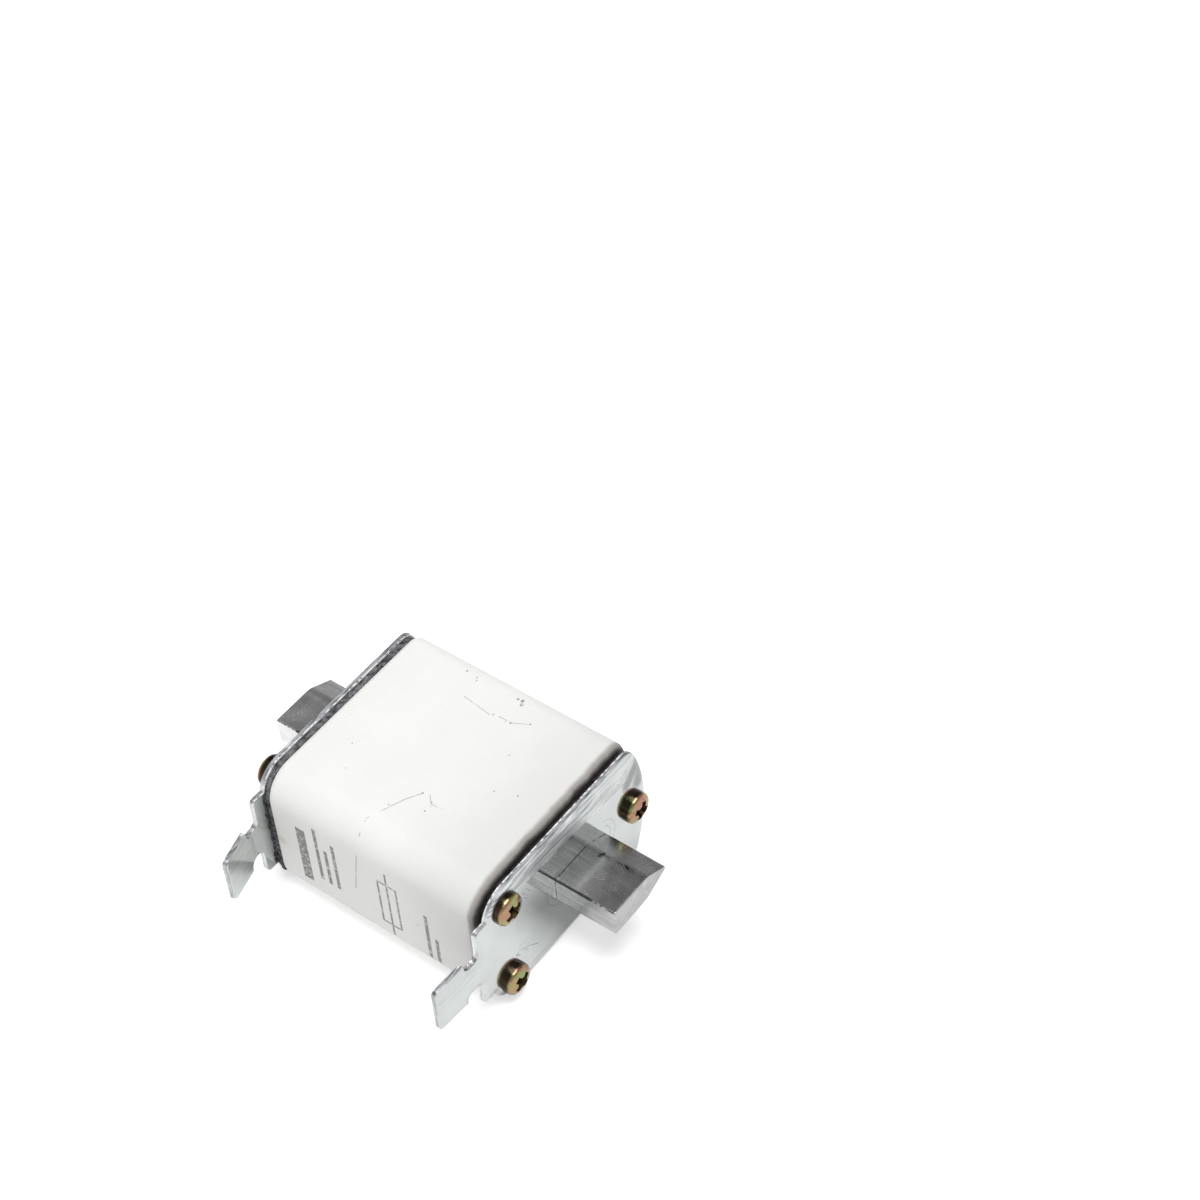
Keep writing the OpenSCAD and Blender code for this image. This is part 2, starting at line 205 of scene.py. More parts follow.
def plate_outline(lean):
    """Outline of a plate laid flat, with its T-shaped lug, and the rows where it bends."""
    bend = bend_length(lean)
    corner_r = FRONT_R - PLATE_INSET
    corner_y = FRONT_R - BODY_FRONT
    rise = math.degrees(math.asin((TAB_HALF - BODY_HALF + FRONT_R) / corner_r))
    inner_y = -TAB_REACH - NOTCH_H
    head_y = inner_y - HEAD_H
    side = arc((corner_y, BODY_HALF - FRONT_R), corner_r, 180 - rise, 90, 16)
    shoulder = arc((TAB_R - TAB_REACH, TAB_HALF - TAB_R), TAB_R, 90, 180, 6)
    shoulder += line((-TAB_REACH, TAB_HALF - TAB_R), (-TAB_REACH, NECK_HALF + NOTCH_R), 8)
    neck_in = arc((-TAB_REACH - NOTCH_R, NECK_HALF + NOTCH_R), NOTCH_R, 0, -90, 8)
    rows = [BEND_Y - bend * i / 4 for i in range(5)]
    neck = [(y, NECK_HALF) for y in rows]
    neck_out = arc((inner_y + NOTCH_R, NECK_HALF + NOTCH_R), NOTCH_R, -90, -180, 8)
    head = [(inner_y, HEAD_HALF)]
    head += line((inner_y, HEAD_HALF), (head_y + HEAD_R, HEAD_HALF), 10)
    head += arc((head_y + HEAD_R, HEAD_HALF - HEAD_R), HEAD_R, 90, 180, 6)
    lug = shoulder + neck_in[1:] + neck + neck_out[:-1] + head
    end_line = line((head_y, HEAD_R - HEAD_HALF), (head_y, HEAD_HALF - HEAD_R), 14)
    back = [p for p in body_outline(PLATE_INSET) if p[0] > corner_y + 1e-6]
    mirrored_lug = [(y, -z) for y, z in lug]
    outline = side + back + flipped(side) + mirrored_lug + end_line + lug[::-1]
    return outline, rows


def bend_length(lean):
    """Length of flat sheet that the bend in the neck takes up."""
    return lean * (BEND_R + (PLATE_OUT - PLATE_IN) / 2)


def blade_section(inset):
    """Section of a blade: square edge at negative Y, knife edge at positive Y."""
    angle = math.atan((BLADE_HALF_T - KNIFE_T / 2) / BEVEL_W)
    start = BLADE_HALF_W - BEVEL_W
    reach = BEVEL_R * math.tan(angle / 2)
    degrees = math.degrees(angle)
    turn_centre = (start - reach, BLADE_HALF_T - BEVEL_R)
    knife_y = BLADE_HALF_W - KNIFE_R
    lift = KNIFE_T / 2 - KNIFE_R * math.tan(math.pi / 4 - angle / 2)
    upper = arc(turn_centre, BEVEL_R - inset, 90, 90 - degrees, 10)
    knife = arc((knife_y, lift), KNIFE_R - min(inset, KNIFE_R * 0.95), 90 - degrees, 0, 4)
    square = arc((SQUARE_R - BLADE_HALF_W, BLADE_HALF_T - SQUARE_R),
                 SQUARE_R - min(inset, SQUARE_R * 0.95), 180, 90, 5)
    flat = line((SQUARE_R - BLADE_HALF_W, BLADE_HALF_T - inset),
                (start - reach, BLADE_HALF_T - inset), 12)
    half = square + flat + upper + line(upper[-1], knife[0], 8) + knife
    return half + flipped(half)


class Shell:
    """Collects the points and faces of one closed piece, in millimetres."""

    def __init__(self):
        self.points = []
        self.faces = []

    def ring(self, outline, x):
        """Adds an outline of (Y, Z) points about the blades' line at x."""
        first = len(self.points)
        for y, z in outline:
            self.points.append((x, y, MID_Z + z))
        return list(range(first, len(self.points)))

    def bridge(self, a, b):
        """Joins two rings of as many points with a band of faces."""
        for i in range(len(a)):
            j = (i + 1) % len(a)
            self.faces.append((a[i], a[j], b[j], b[i]))

    def loft(self, rings):
        """Joins a row of rings with bands of faces."""
        for a, b in zip(rings, rings[1:]):
            self.bridge(a, b)

    def cap(self, outer, holes=(), loose=(), creases=()):
        """Fills the area between a ring and the rings inside it with triangles."""
        loops = [outer] + list(holes)
        indices = [i for loop in loops for i in loop] + list(loose)
        place = {index: n for n, index in enumerate(indices)}
        flat = [Vector((self.points[i][1], self.points[i][2])) for i in indices]
        edges = [(place[loop[k]], place[loop[(k + 1) % len(loop)]])
                 for loop in loops for k in range(len(loop))]
        edges += [(place[a], place[b]) for a, b in creases]
        found = delaunay_2d_cdt(flat, edges, [], 1, 1e-6)
        verts, faces, origins = found[0], found[2], found[3]
        hole_loops = [[flat[place[i]] for i in hole] for hole in holes]
        for face in faces:
            middle = sum((verts[v] for v in face), Vector((0, 0))) / len(face)
            if any(inside(middle, hole) for hole in hole_loops):
                continue
            self.faces.append(tuple(indices[origins[v][0]] for v in face))

    def lathe(self, centre, profile, steps=40):
        """Turns a profile of (radius, x) about the line along X through centre."""
        rings = [self.ring(circle(centre, 2 * radius, steps), x) for radius, x in profile]
        self.loft(rings)
        return rings

    def mesh(self, name, mirrored=False, sharp=35.0):
        """Makes the object, in metres, with its faces outwards."""
        sign = -1 if mirrored else 1
        data = bpy.data.meshes.new(name)
        points = [(sign * x * MM, y * MM, z * MM) for x, y, z in self.points]
        data.from_pydata(points, [], self.faces)
        work = bmesh.new()
        work.from_mesh(data)
        bmesh.ops.remove_doubles(work, verts=work.verts, dist=1e-7)
        bmesh.ops.recalc_face_normals(work, faces=work.faces)
        work.to_mesh(data)
        work.free()
        data.shade_smooth()
        data.set_sharp_from_angle(angle=math.radians(sharp))
        piece = bpy.data.objects.new(name, data)
        bpy.context.scene.collection.objects.link(piece)
        weighted = piece.modifiers.new("Even shading", "WEIGHTED_NORMAL")
        weighted.keep_sharp = True
        return plain_mesh(piece)


def inside(point, loop):
    """Whether a point lies inside a closed loop."""
    found = False
    for a, b in zip(loop, loop[1:] + loop[:1]):
        if (a.y > point.y) != (b.y > point.y):
            if point.x < a.x + (point.y - a.y) * (b.x - a.x) / (b.y - a.y):
                found = not found
    return found


def plain_mesh(piece):
    """Turns a piece with modifiers into a plain mesh of the same name."""
    graph = bpy.context.evaluated_depsgraph_get()
    graph.update()
    baked = bpy.data.meshes.new_from_object(piece.evaluated_get(graph), depsgraph=graph)
    piece.modifiers.clear()
    piece.data = baked
    baked.name = piece.name
    return piece


def inward(outline, inset):
    """Draws a clockwise or anticlockwise outline inwards by an inset."""
    area = sum(a[0] * b[1] - b[0] * a[1] for a, b in zip(outline, outline[1:] + outline[:1]))
    side = 1 if area > 0 else -1
    moved = []
    for i, (y, z) in enumerate(outline):
        before = outline[i - 1]
        after = outline[(i + 1) % len(outline)]
        first = Vector((y - before[0], z - before[1])).normalized()
        second = Vector((after[0] - y, after[1] - z)).normalized()
        normal = Vector((-first.y - second.y, first.x + second.x)) * side
        normal.normalize()
        stretch = max(0.5, normal.dot(Vector((-first.y, first.x)) * side))
        moved.append((y + normal.x * inset / stretch, z + normal.y * inset / stretch))
    return moved


def depth_inside(point, outline):
    """Distance from a point to the nearest edge of an outline."""
    best = 1e9
    for a, b in zip(outline, outline[1:] + outline[:1]):
        ey, ez = b[0] - a[0], b[1] - a[1]
        length = ey * ey + ez * ez
        t = 0 if length == 0 else ((point[0] - a[0]) * ey + (point[1] - a[1]) * ez) / length
        t = min(1, max(0, t))
        best = min(best, math.hypot(point[0] - a[0] - t * ey, point[1] - a[1] - t * ez))
    return best


def ceramic_housing():
    """Glazed body with rounded ends, its sand cavity and six screw holes."""
    shell = Shell()
    rings = []
    for i in range(END_ROWS + 1):
        turn = math.radians(90 * i / END_ROWS)
        inset = END_R * (1 - math.sin(turn))
        rings.append((inset, -BODY_END + END_R * (1 - math.cos(turn))))
    rings += [(0, x) for x in BODY_ROWS]
    rings += [(inset, -x) for inset, x in rings[:END_ROWS + 1][::-1]]
    outer = [shell.ring(body_outline(inset), x) for inset, x in rings]
    shell.loft(outer)
    middle = (CAVITY_BACK - CAVITY_FRONT) / 2
    cavity = rounded_rectangle((middle, 0), CAVITY_FRONT + CAVITY_BACK, 2 * CAVITY_HALF, CAVITY_R)
    ends = [shell.ring(cavity, -BODY_END), shell.ring(cavity, BODY_END)]
    shell.loft(ends)
    for sign, rim, hollow in ((-1, outer[0], ends[0]), (1, outer[-1], ends[1])):
        holes = [hollow]
        for place in SCREW_PLACES:
            mouth = shell.ring(circle(place, PILOT_D), sign * BODY_END)
            floor = shell.ring(circle(place, PILOT_D), sign * PILOT_END)
            shell.bridge(mouth, floor)
            shell.cap(floor)
            holes.append(mouth)
        shell.cap(rim, holes)
    return shell.mesh("ceramic_housing")


def fine_outline(outline, pitch):
    """The same outline with its points no further apart than about a pitch."""
    fine = []
    for a, b in zip(outline, outline[1:] + outline[:1]):
        steps = max(1, round(math.dist(a, b) / pitch))
        fine += [a] + line(a, b, steps)
    return fine


def through(shell, opening, low, high):
    """Walls of an opening through a sheet, and its rims at the sheet's two faces."""
    near = shell.ring(opening, low)
    far = shell.ring(opening, high)
    shell.bridge(near, far)
    return near, far


def sheet_holes(end):
    """Outlines of the screw holes, and at the left end of the filling hole."""
    holes = [circle(place, SCREW_HOLE_D) for place in SCREW_PLACES]
    if end == "left":
        holes.append(circle((-FILL_Y, 0), FILL_HOLE_D))
    return holes


def gasket_lip(place):
    """How far the left gasket's edge stands out at its one swollen place."""
    near = math.dist(place, GASKET_LIP_PLACE) / GASKET_LIP_REACH
    return GASKET_LIP * math.exp(-near * near)


def fibre_gasket(end):
    """Fibre sheet between the ceramic and a plate, its cut edge ragged."""
    draw = random.Random(GASKET_SEED[end])
    shell = Shell()
    low = BODY_END + GASKET_GAP
    high = PLATE_IN - GASKET_GAP
    fine = fine_outline(body_outline(GASKET_INSET[end], flat_steps=80), GASKET_PITCH)
    drawn_in = inward(fine, 1.0)
    waves = [(draw.uniform(0.3, 2.2), draw.uniform(0, math.tau)) for _ in range(GASKET_WAVES)]
    rings = []
    for layer in range(GASKET_LAYERS):
        share = layer / (GASKET_LAYERS - 1)
        ragged = []
        for i, (outer, inner) in enumerate(zip(fine, drawn_in)):
            slow = sum(math.sin(rate * i * 0.3 + start + layer * 0.4) for rate, start in waves)
            bite = GASKET_RAG * (0.5 - 0.5 * slow / GASKET_WAVES + 0.9 * draw.random())
            bite += GASKET_ROUND * abs(2 * share - 1)
            if end == "left":
                bite -= gasket_lip(outer)
            ragged.append((outer[0] + (inner[0] - outer[0]) * bite,
                           outer[1] + (inner[1] - outer[1]) * bite))
        rings.append(shell.ring(ragged, low + (high - low) * share))
    shell.loft(rings)
    window = rounded_rectangle((TENON_Y, 0), COLLAR[0] + 2 * WINDOW_GAP,
                               COLLAR[1] + 2 * WINDOW_GAP, 0.3, 3)
    rims = [through(shell, opening, low, high) for opening in [window] + sheet_holes(end)]
    shell.cap(rings[0], [near for near, far in rims])
    shell.cap(rings[-1], [far for near, far in rims])
    return shell.mesh("gasket_sheet_" + end, end == "left", 50)


def slot_line(length, width):
    """Outline of a slot with round ends, long along Y."""
    return rounded_rectangle((0, 0), length, width, width / 2 - 0.001, 16)


def bend_lug(shell, lean):
    """Bends everything beyond the start of the bend in the neck inwards."""
    centre_x = PLATE_IN - BEND_R
    bend = bend_length(lean)
    for i, (x, y, z) in enumerate(shell.points):
        along = BEND_Y - y
        if along <= 0:
            continue
        turn = lean * min(1, along / bend)
        beyond = max(0, along - bend)
        radius = x - centre_x
        shell.points[i] = (centre_x + radius * math.cos(turn) - beyond * math.sin(turn),
                           BEND_Y - radius * math.sin(turn) - beyond * math.cos(turn), z)


def rim_drop(depth):
    """How far the rolled rim of a plate falls back at a depth inside its outline."""
    return RIM_ROLL * max(0.0, 1 - depth / RIM_ROLL_WIDTH) ** 3.2


def plate_edge(shell, outline):
    """The edge of a plate, from its back round the rolled rim, and its two inner rings."""
    rings = [shell.ring(inward(outline, RIM_BURR), PLATE_IN),
             shell.ring(outline, PLATE_IN + RIM_BURR)]
    for depth in RIM_RINGS:
        rings.append(shell.ring(inward(outline, depth), PLATE_OUT - rim_drop(depth)))
    shell.loft(rings)
    return rings[0], rings[-1]


def rim_points(shell, outline, holes):
    """Free points that carry the roll of the rim on into the plate, clear of its openings."""
    loose = []
    for depth in RIM_POINTS:
        for place in inward(outline, depth):
            true_depth = depth_inside(place, outline)
            if true_depth > depth - 0.03 and keeps_clear(place, holes):
                loose += shell.ring([place], PLATE_OUT - rim_drop(true_depth))
    return loose


def keeps_clear(place, holes):
    """Whether a free point of the rim lies outside all holes and the coined line."""
    for hole in holes + [slot_line(*COIN)]:
        if inside(Vector(place), [Vector(p) for p in hole]) or depth_inside(place, hole) < 0.15:
            return False
    return True


def coined_groove(shell):
    """The shallow groove round the blade's slot, and its outer and inner rim."""
    rings = []
    for inset, sunk in ((0.0, 0.0), (COIN_LINE / 2, COIN_DEPTH), (COIN_LINE, 0.0)):
        oval = slot_line(COIN[0] - 2 * inset, COIN[1] - 2 * inset)
        rings.append(shell.ring(oval, PLATE_OUT - sunk))
    shell.loft(rings)
    return rings[0], rings[-1]


def end_plate(end):
    """Stamped plate with a rolled rim, a coined line round the blade and a bent T lug."""
    shell = Shell()
    outline, rows = plate_outline(LEAN[end])
    holes = sheet_holes(end)
    back, front = plate_edge(shell, outline)
    loose = rim_points(shell, outline, holes)
    groove_out, groove_in = coined_groove(shell)
    slot = rounded_rectangle((TENON_Y, 0), TENON[0] + 2 * SLOT_GAP, TENON[1] + 2 * SLOT_GAP,
                             TENON_R, 3)
    slot_back, slot_front = through(shell, slot, PLATE_IN, PLATE_OUT)
    rims = [through(shell, hole, PLATE_IN, PLATE_OUT) for hole in holes]
    shell.cap(front, [groove_out] + [far for near, far in rims], loose,
              neck_creases(shell, front, rows))
    shell.cap(groove_in, [slot_front])
    shell.cap(back, [slot_back] + [near for near, far in rims], (),
              neck_creases(shell, back, rows))
    bend_lug(shell, LEAN[end])
    return shell.mesh("plate_sheet_" + end, end == "left", 40)


def neck_creases(shell, ring, rows):
    """Edges across the neck, between the points of a ring that share a row."""
    creases = []
    for row in rows:
        across = [i for i in ring if abs(shell.points[i][1] - row) < 0.02
                  and abs(shell.points[i][2] - MID_Z) < NECK_HALF + 0.1]
        if len(across) == 2:
            creases.append(tuple(across))
    return creases


def contact_blade(end):
    """Copper blade with softened edges, its tenon, staked collar and inner tongue."""
    shell = Shell()
    sections = [(0.0, PLATE_OUT), (0.0, BLADE_TIP - TIP_R - 0.01)]
    for i in range(1, TIP_ROWS + 1):
        turn = math.radians(90 * i / TIP_ROWS)
        sections.append((TIP_R * (1 - math.cos(turn)), BLADE_TIP - TIP_R * (1 - math.sin(turn))))
    rings = [shell.ring(blade_section(inset), x) for inset, x in sections]
    shell.loft(rings)
    shell.cap(rings[-1])
    tenon = rounded_rectangle((TENON_Y, 0), *TENON, TENON_R, 3)
    collar = rounded_rectangle((TENON_Y, 0), *COLLAR, COLLAR_R, 3)
    tongue = rounded_rectangle((TENON_Y, 0), *TONGUE, TENON_R, 3)
    tenon_rings = [shell.ring(tenon, PLATE_OUT), shell.ring(tenon, PLATE_IN)]
    collar_rings = [shell.ring(collar, PLATE_IN), shell.ring(collar, BODY_END)]
    tongue_rings = [shell.ring(tongue, BODY_END), shell.ring(tongue, TONGUE_END)]
    for pair in (tenon_rings, collar_rings, tongue_rings):
        shell.loft(pair)
    shell.cap(rings[0], [tenon_rings[0]])
    shell.cap(collar_rings[0], [tenon_rings[1]])
    shell.cap(collar_rings[1], [tongue_rings[0]])
    shell.cap(tongue_rings[1])
    return shell.mesh("contact_blade_" + end, end == "left")


def pressed_plug():
    """Domed metal plug with a stepped rim, pressed into the filling hole."""
    shell = Shell()
    rim = PLUG_RIM_D / 2
    top = PLATE_OUT + PLUG_TOP
    profile = [(FILL_D / 2, BODY_END), (FILL_D / 2, PLATE_OUT)]
    profile += [(rim - within, PLATE_OUT + height) for within, height in PLUG_EDGE]
    for i in range(1, 7):
        turn = math.radians(90 * i / 7)
        profile.append(((rim - PLUG_CROWN_IN) * math.cos(turn),
                        top - PLUG_CROWN_H * (1 - math.sin(turn))))
    profile.append((PLUG_TOP_R, top))
    rings = shell.lathe((-FILL_Y, 0), profile)
    shell.cap(rings[0])
    shell.cap(rings[-1])
    return shell.mesh("pressed_plug", True, 40)


class Tree:
    """Thin helper that adds nodes to a tree and links them."""

    def __init__(self, tree):
        self.tree = tree

    def add(self, kind, **settings):
        """Adds a node with its own settings."""
        node = self.tree.nodes.new(kind)
        for key, value in settings.items():
            setattr(node, key, value)
        return node

    def link(self, source, target):
        """Links an output to an input."""
        self.tree.links.new(source, target)

    def feed(self, node, values):
        """Gives each named or numbered input a value or a link."""
        for key, value in values.items():
            socket = node.inputs[key]
            if isinstance(value, bpy.types.NodeSocket):
                self.link(value, socket)
            else:
                socket.default_value = value
        return node

    def math(self, operation, *values, clamp=False):
        """Result of one step of arithmetic."""
        node = self.add("ShaderNodeMath", operation=operation, use_clamp=clamp)
        self.feed(node, dict(enumerate(values)))
        return node.outputs[0]

    def times(self, *masks):
        """Product of several masks or numbers."""
        total = masks[0]
        for mask in masks[1:]:
            total = self.math("MULTIPLY", total, mask)
        return total

    def vector(self, operation, *values, out="Vector"):
        """Result of one step of arithmetic on vectors."""
        node = self.add("ShaderNodeVectorMath", operation=operation)
        self.feed(node, dict(enumerate(values)))
        return node.outputs[out]

    def scaled(self, vector, factor):
        """A vector made longer or shorter by a factor."""
        node = self.add("ShaderNodeVectorMath", operation="SCALE")
        return self.feed(node, {0: vector, "Scale": factor}).outputs["Vector"]

    def split(self, vector):
        """The X, Y and Z of a vector."""
        return self.feed(self.add("ShaderNodeSeparateXYZ"), {0: vector}).outputs

    def combine(self, **sides):
        """A vector put together from its X, Y and Z."""
        return self.feed(self.add("ShaderNodeCombineXYZ"), sides).outputs[0]

    def ramp(self, value, low, high, out_low=0.0, out_high=1.0):
        """Smooth step of a value from low to high."""
        node = self.add("ShaderNodeMapRange", interpolation_type="SMOOTHSTEP")
        self.feed(node, {"Value": value, "From Min": low, "From Max": high,
                         "To Min": out_low, "To Max": out_high})
        return node.outputs["Result"]

    def mix(self, factor, a, b):
        """Mixes two colours."""
        node = self.add("ShaderNodeMix", data_type="RGBA")
        colours = [s for s in node.inputs if s.type == "RGBA"]
        self.feed(node, {0: factor})
        for socket, value in zip(colours, (a, b)):
            if isinstance(value, bpy.types.NodeSocket):
                self.link(value, socket)
            else:
                socket.default_value = (*value, 1.0)
        return [s for s in node.outputs if s.type == "RGBA"][0]

    def stain(self, colour, mask, strength, shade):
        """Lays a shade over a colour, as strongly as a mask times a strength."""
        return self.mix(self.math("MULTIPLY", mask, strength), colour, shade)

    def noise(self, where, scale, detail=3.0, roughness=0.55, distortion=0.0):
        """Cloudy pattern."""
        node = self.add("ShaderNodeTexNoise")
        self.feed(node, {"Vector": where, "Scale": scale, "Detail": detail,
                         "Roughness": roughness, "Distortion": distortion})
        return node.outputs["Fac"]

    def cells(self, where, scale):
        """Distance to the nearest of many scattered grains."""
        node = self.feed(self.add("ShaderNodeTexVoronoi"), {"Vector": where, "Scale": scale})
        return node.outputs["Distance"]

    def stretched(self, where, scale, turn=(0.0, 0.0, 0.0)):
        """Object coordinates stretched by a Mapping node."""
        node = self.add("ShaderNodeMapping")
        self.feed(node, {"Vector": where, "Scale": scale, "Rotation": turn})
        return node.outputs[0]

    def bump(self, height, distance, strength=1.0, under=None):
        """Shading of a height of so many metres, on top of another bump."""
        node = self.add("ShaderNodeBump")
        self.feed(node, {"Height": height, "Distance": distance, "Strength": strength})
        if under is not None:
            self.link(under, node.inputs["Normal"])
        return node.outputs[0]

    def scratch(self, where, start, stop, width):
        """Mask of a thin straight scratch between two places in millimetres."""
        a = Vector(start) * MM
        along = Vector(stop) * MM - a
        offset = self.vector("SUBTRACT", where, tuple(a))
        share = self.vector("DOT_PRODUCT", offset, tuple(along / along.length_squared), out="Value")
        share = self.math("MINIMUM", self.math("MAXIMUM", share, 0.0), 1.0)
        nearest = self.scaled(tuple(along), share)
        gap = self.vector("LENGTH", self.vector("SUBTRACT", offset, nearest), out="Value")
        return self.ramp(gap, width * MM, width * MM * 0.35)

    def scratches(self, where, path, width):
        """Mask of a scratch that follows several places."""
        return self.largest([self.scratch(where, a, b, width) for a, b in zip(path, path[1:])])

    def spot(self, where, centre, radius):
        """Mask of a round speck."""
        gap = self.vector("DISTANCE", where, tuple(Vector(centre) * MM), out="Value")
        return self.ramp(gap, radius * MM, radius * MM * 0.4)

    def box(self, where, low, high, soft=0.08):
        """Mask of everything between two opposite corners of a box."""
        middle = (Vector(low) + Vector(high)) / 2 * MM
        half = (Vector(high) - Vector(low)) / 2 * MM
        offset = self.vector("SUBTRACT", where, tuple(middle))
        sides = self.split(self.vector("SUBTRACT", self.vector("ABSOLUTE", offset), tuple(half)))
        gap = self.math("MAXIMUM", self.math("MAXIMUM", sides["X"], sides["Y"]), sides["Z"])
        return self.ramp(gap, soft * MM, -soft * MM)

    def largest(self, masks):
        """Joins several masks into one."""
        total = masks[0]
        for mask in masks[1:]:
            total = self.math("MAXIMUM", total, mask)
        return total


def both_ends(tree, where):
    """Object coordinates whose X is the distance from the middle, for both ends alike."""
    sides = tree.split(where)
    return tree.combine(X=tree.math("ABSOLUTE", sides["X"]), Y=sides["Y"], Z=sides["Z"])


def new_material(name):
    """Material with one Principled shader, its tree helper and its Object coordinates."""
    material = bpy.data.materials.new(name)
    material.use_nodes = True
    tree = Tree(material.node_tree)
    shader = material.node_tree.nodes["Principled BSDF"]
    where = tree.add("ShaderNodeTexCoord").outputs["Object"]
    return material, tree, shader, where


# Marks on the ceramic, as places in millimetres: scratches as paths, specks on the upper side
# as (X, Y, radius), and the print on the front as corners in X and Z.

HAIRLINE = [(1.7, -12.3, 30.0), (0.0, -15.1, 30.0), (-1.5, -18.8, 30.0), (-3.1, -22.1, 29.6),
            (-2.8, -24.6, 27.9), (-2.7, -26.3, 24.0), (-3.6, -26.3, 18.5), (-4.4, -26.3, 13.2)]
HAIRLINE_W = 0.13
FAINT_LINES = [
    [(-6.1, 9.3, 30.0), (-4.3, 9.1, 30.0), (0.2, 8.5, 30.0)],
    [(2.1, 9.1, 30.0), (4.8, 9.2, 30.0), (7.7, 10.8, 30.0)],
    [(3.0, -11.9, 30.0), (4.5, -13.4, 30.0), (6.8, -13.2, 30.0)],
]
FAINT_LINE_W = 0.09
SPECKS = [
    (-9.7, 14.4, 0.28), (-7.2, 14.2, 0.2), (-6.8, 13.6, 0.2), (-6.1, 9.3, 0.2), (-4.3, 9.1, 0.18),
    (0.8, 8.9, 0.25), (2.1, 9.1, 0.17), (4.6, 9.0, 0.25), (3.6, 8.8, 0.17), (7.7, 10.8, 0.25),
    (2.2, 14.3, 0.4), (3.1, 14.4, 0.55), (3.6, 13.6, 0.5), (5.9, 16.3, 0.17), (15.9, -3.4, 0.25),
    (11.8, -4.9, 0.2), (4.5, -15.2, 0.25), (1.7, -12.3, 0.27), (4.3, -13.0, 0.2),
    (4.7, -13.8, 0.2), (-1.6, -17.6, 0.2), (-16.0, -10.6, 0.2), (-8.2, 5.4, 0.17),
    (9.0, 3.0, 0.2), (-13.2, -15.6, 0.17),
]
STAIN_PLACE = (-23.3, -26.0, 14.0)
STAIN_R = 3.4
INK_BARS = [
    ((-17.5, 7.0), (-15.3, 21.5)), ((-13.2, 9.5), (-12.4, 24.0)), ((-11.2, 9.5), (-10.4, 19.0)),
    ((-9.2, 9.5), (-8.4, 22.0)), ((11.6, 5.0), (12.4, 17.5)), ((13.6, 5.0), (14.4, 12.0)),
]
INK_DEPTH = 0.6
SYMBOL = ((1.2, 8.0), (5.8, 20.0))
SYMBOL_LINE = 0.45
SYMBOL_LEAD = 3.0


def glazed_ceramic():
    """White, slightly warm pressed ceramic with specks, ink marks, scratches, and a right end
    darkened by painted shade and some dirt.
    """
    material, tree, shader, where = new_material("glazed_ceramic")
    cloud = tree.noise(where, 55, 4, 0.6)
    colour = tree.mix(tree.ramp(cloud, 0.35, 0.7), (0.84, 0.838, 0.82), (0.87, 0.87, 0.855))
    colour = tree.stain(colour, ceramic_specks(tree, where), 0.8, (0.12, 0.115, 0.11))
    smear = tree.ramp(tree.noise(tree.stretched(where, (220, 90, 90)), 1.0, 5, 0.7), 0.66, 0.8)
    colour = tree.stain(colour, smear, 0.2, (0.45, 0.44, 0.42))
    scratch = ceramic_scratches(tree, where)
    colour = tree.stain(colour, scratch, 0.65, (0.26, 0.25, 0.24))
    colour = tree.mix(front_ink(tree, where), colour, (0.13, 0.13, 0.13))
    # Painted shade: a broad darkening of the ceramic towards its right end.
    colour = tree.stain(colour, end_shade_and_dirt(tree, where, 0.0, 23.0), 0.22, (0.42, 0.41, 0.40))
    # Grey-brown band on the rounded right end: partly dirt, partly painted shade.
    colour = tree.mix(end_shade_and_dirt(tree, where, 21.7, 22.9), colour, (0.33, 0.31, 0.295))
    # Black band where the ceramic meets the gasket: painted shade in the gap.
    colour = tree.mix(end_shade_and_dirt(tree, where, 22.9, 23.7), colour, (0.03, 0.028, 0.027))
    stain = tree.times(tree.spot(where, STAIN_PLACE, STAIN_R),
                       tree.ramp(tree.noise(where, 400, 3), 0.4, 0.65))
    colour = tree.stain(colour, stain, 0.45, (0.62, 0.42, 0.28))
    tree.feed(shader, {"Base Color": colour, "IOR": 1.5, "Specular IOR Level": 0.3,
                       "Roughness": tree.ramp(cloud, 0.3, 0.75, 0.55, 0.7)})
    skin = tree.bump(tree.noise(where, 700, 3, 0.6), 0.00004)
    pits = tree.bump(tree.ramp(tree.cells(where, 900), 0.05, 0.16), 0.00003, 0.6, skin)
    tree.feed(shader, {"Normal": tree.bump(scratch, -0.00003, 1.0, pits)})
    return material


def ceramic_specks(tree, where):
    """Mask of the dark specks: patches of fine dust and single ragged grains."""
    dust = tree.ramp(tree.cells(where, 420), 0.10, 0.05)
    dust = tree.times(dust, tree.ramp(tree.noise(where, 38, 2), 0.58, 0.66))
    specks = tree.largest([tree.spot(where, (x, y, 2 * MID_Z), r) for x, y, r in SPECKS])
    ragged = tree.ramp(tree.noise(where, 2600, 2), 0.36, 0.5)
    return tree.math("MAXIMUM", dust, tree.times(specks, ragged))


def ceramic_scratches(tree, where):
    """Mask of the broken hairline and of the fainter lines."""
    scratch = tree.scratches(where, HAIRLINE, HAIRLINE_W)
    faint = tree.largest([tree.scratches(where, path, FAINT_LINE_W) for path in FAINT_LINES])
    broken = tree.ramp(tree.noise(where, 700, 2), 0.28, 0.44)
    return tree.times(tree.math("MAXIMUM", scratch, faint), broken)


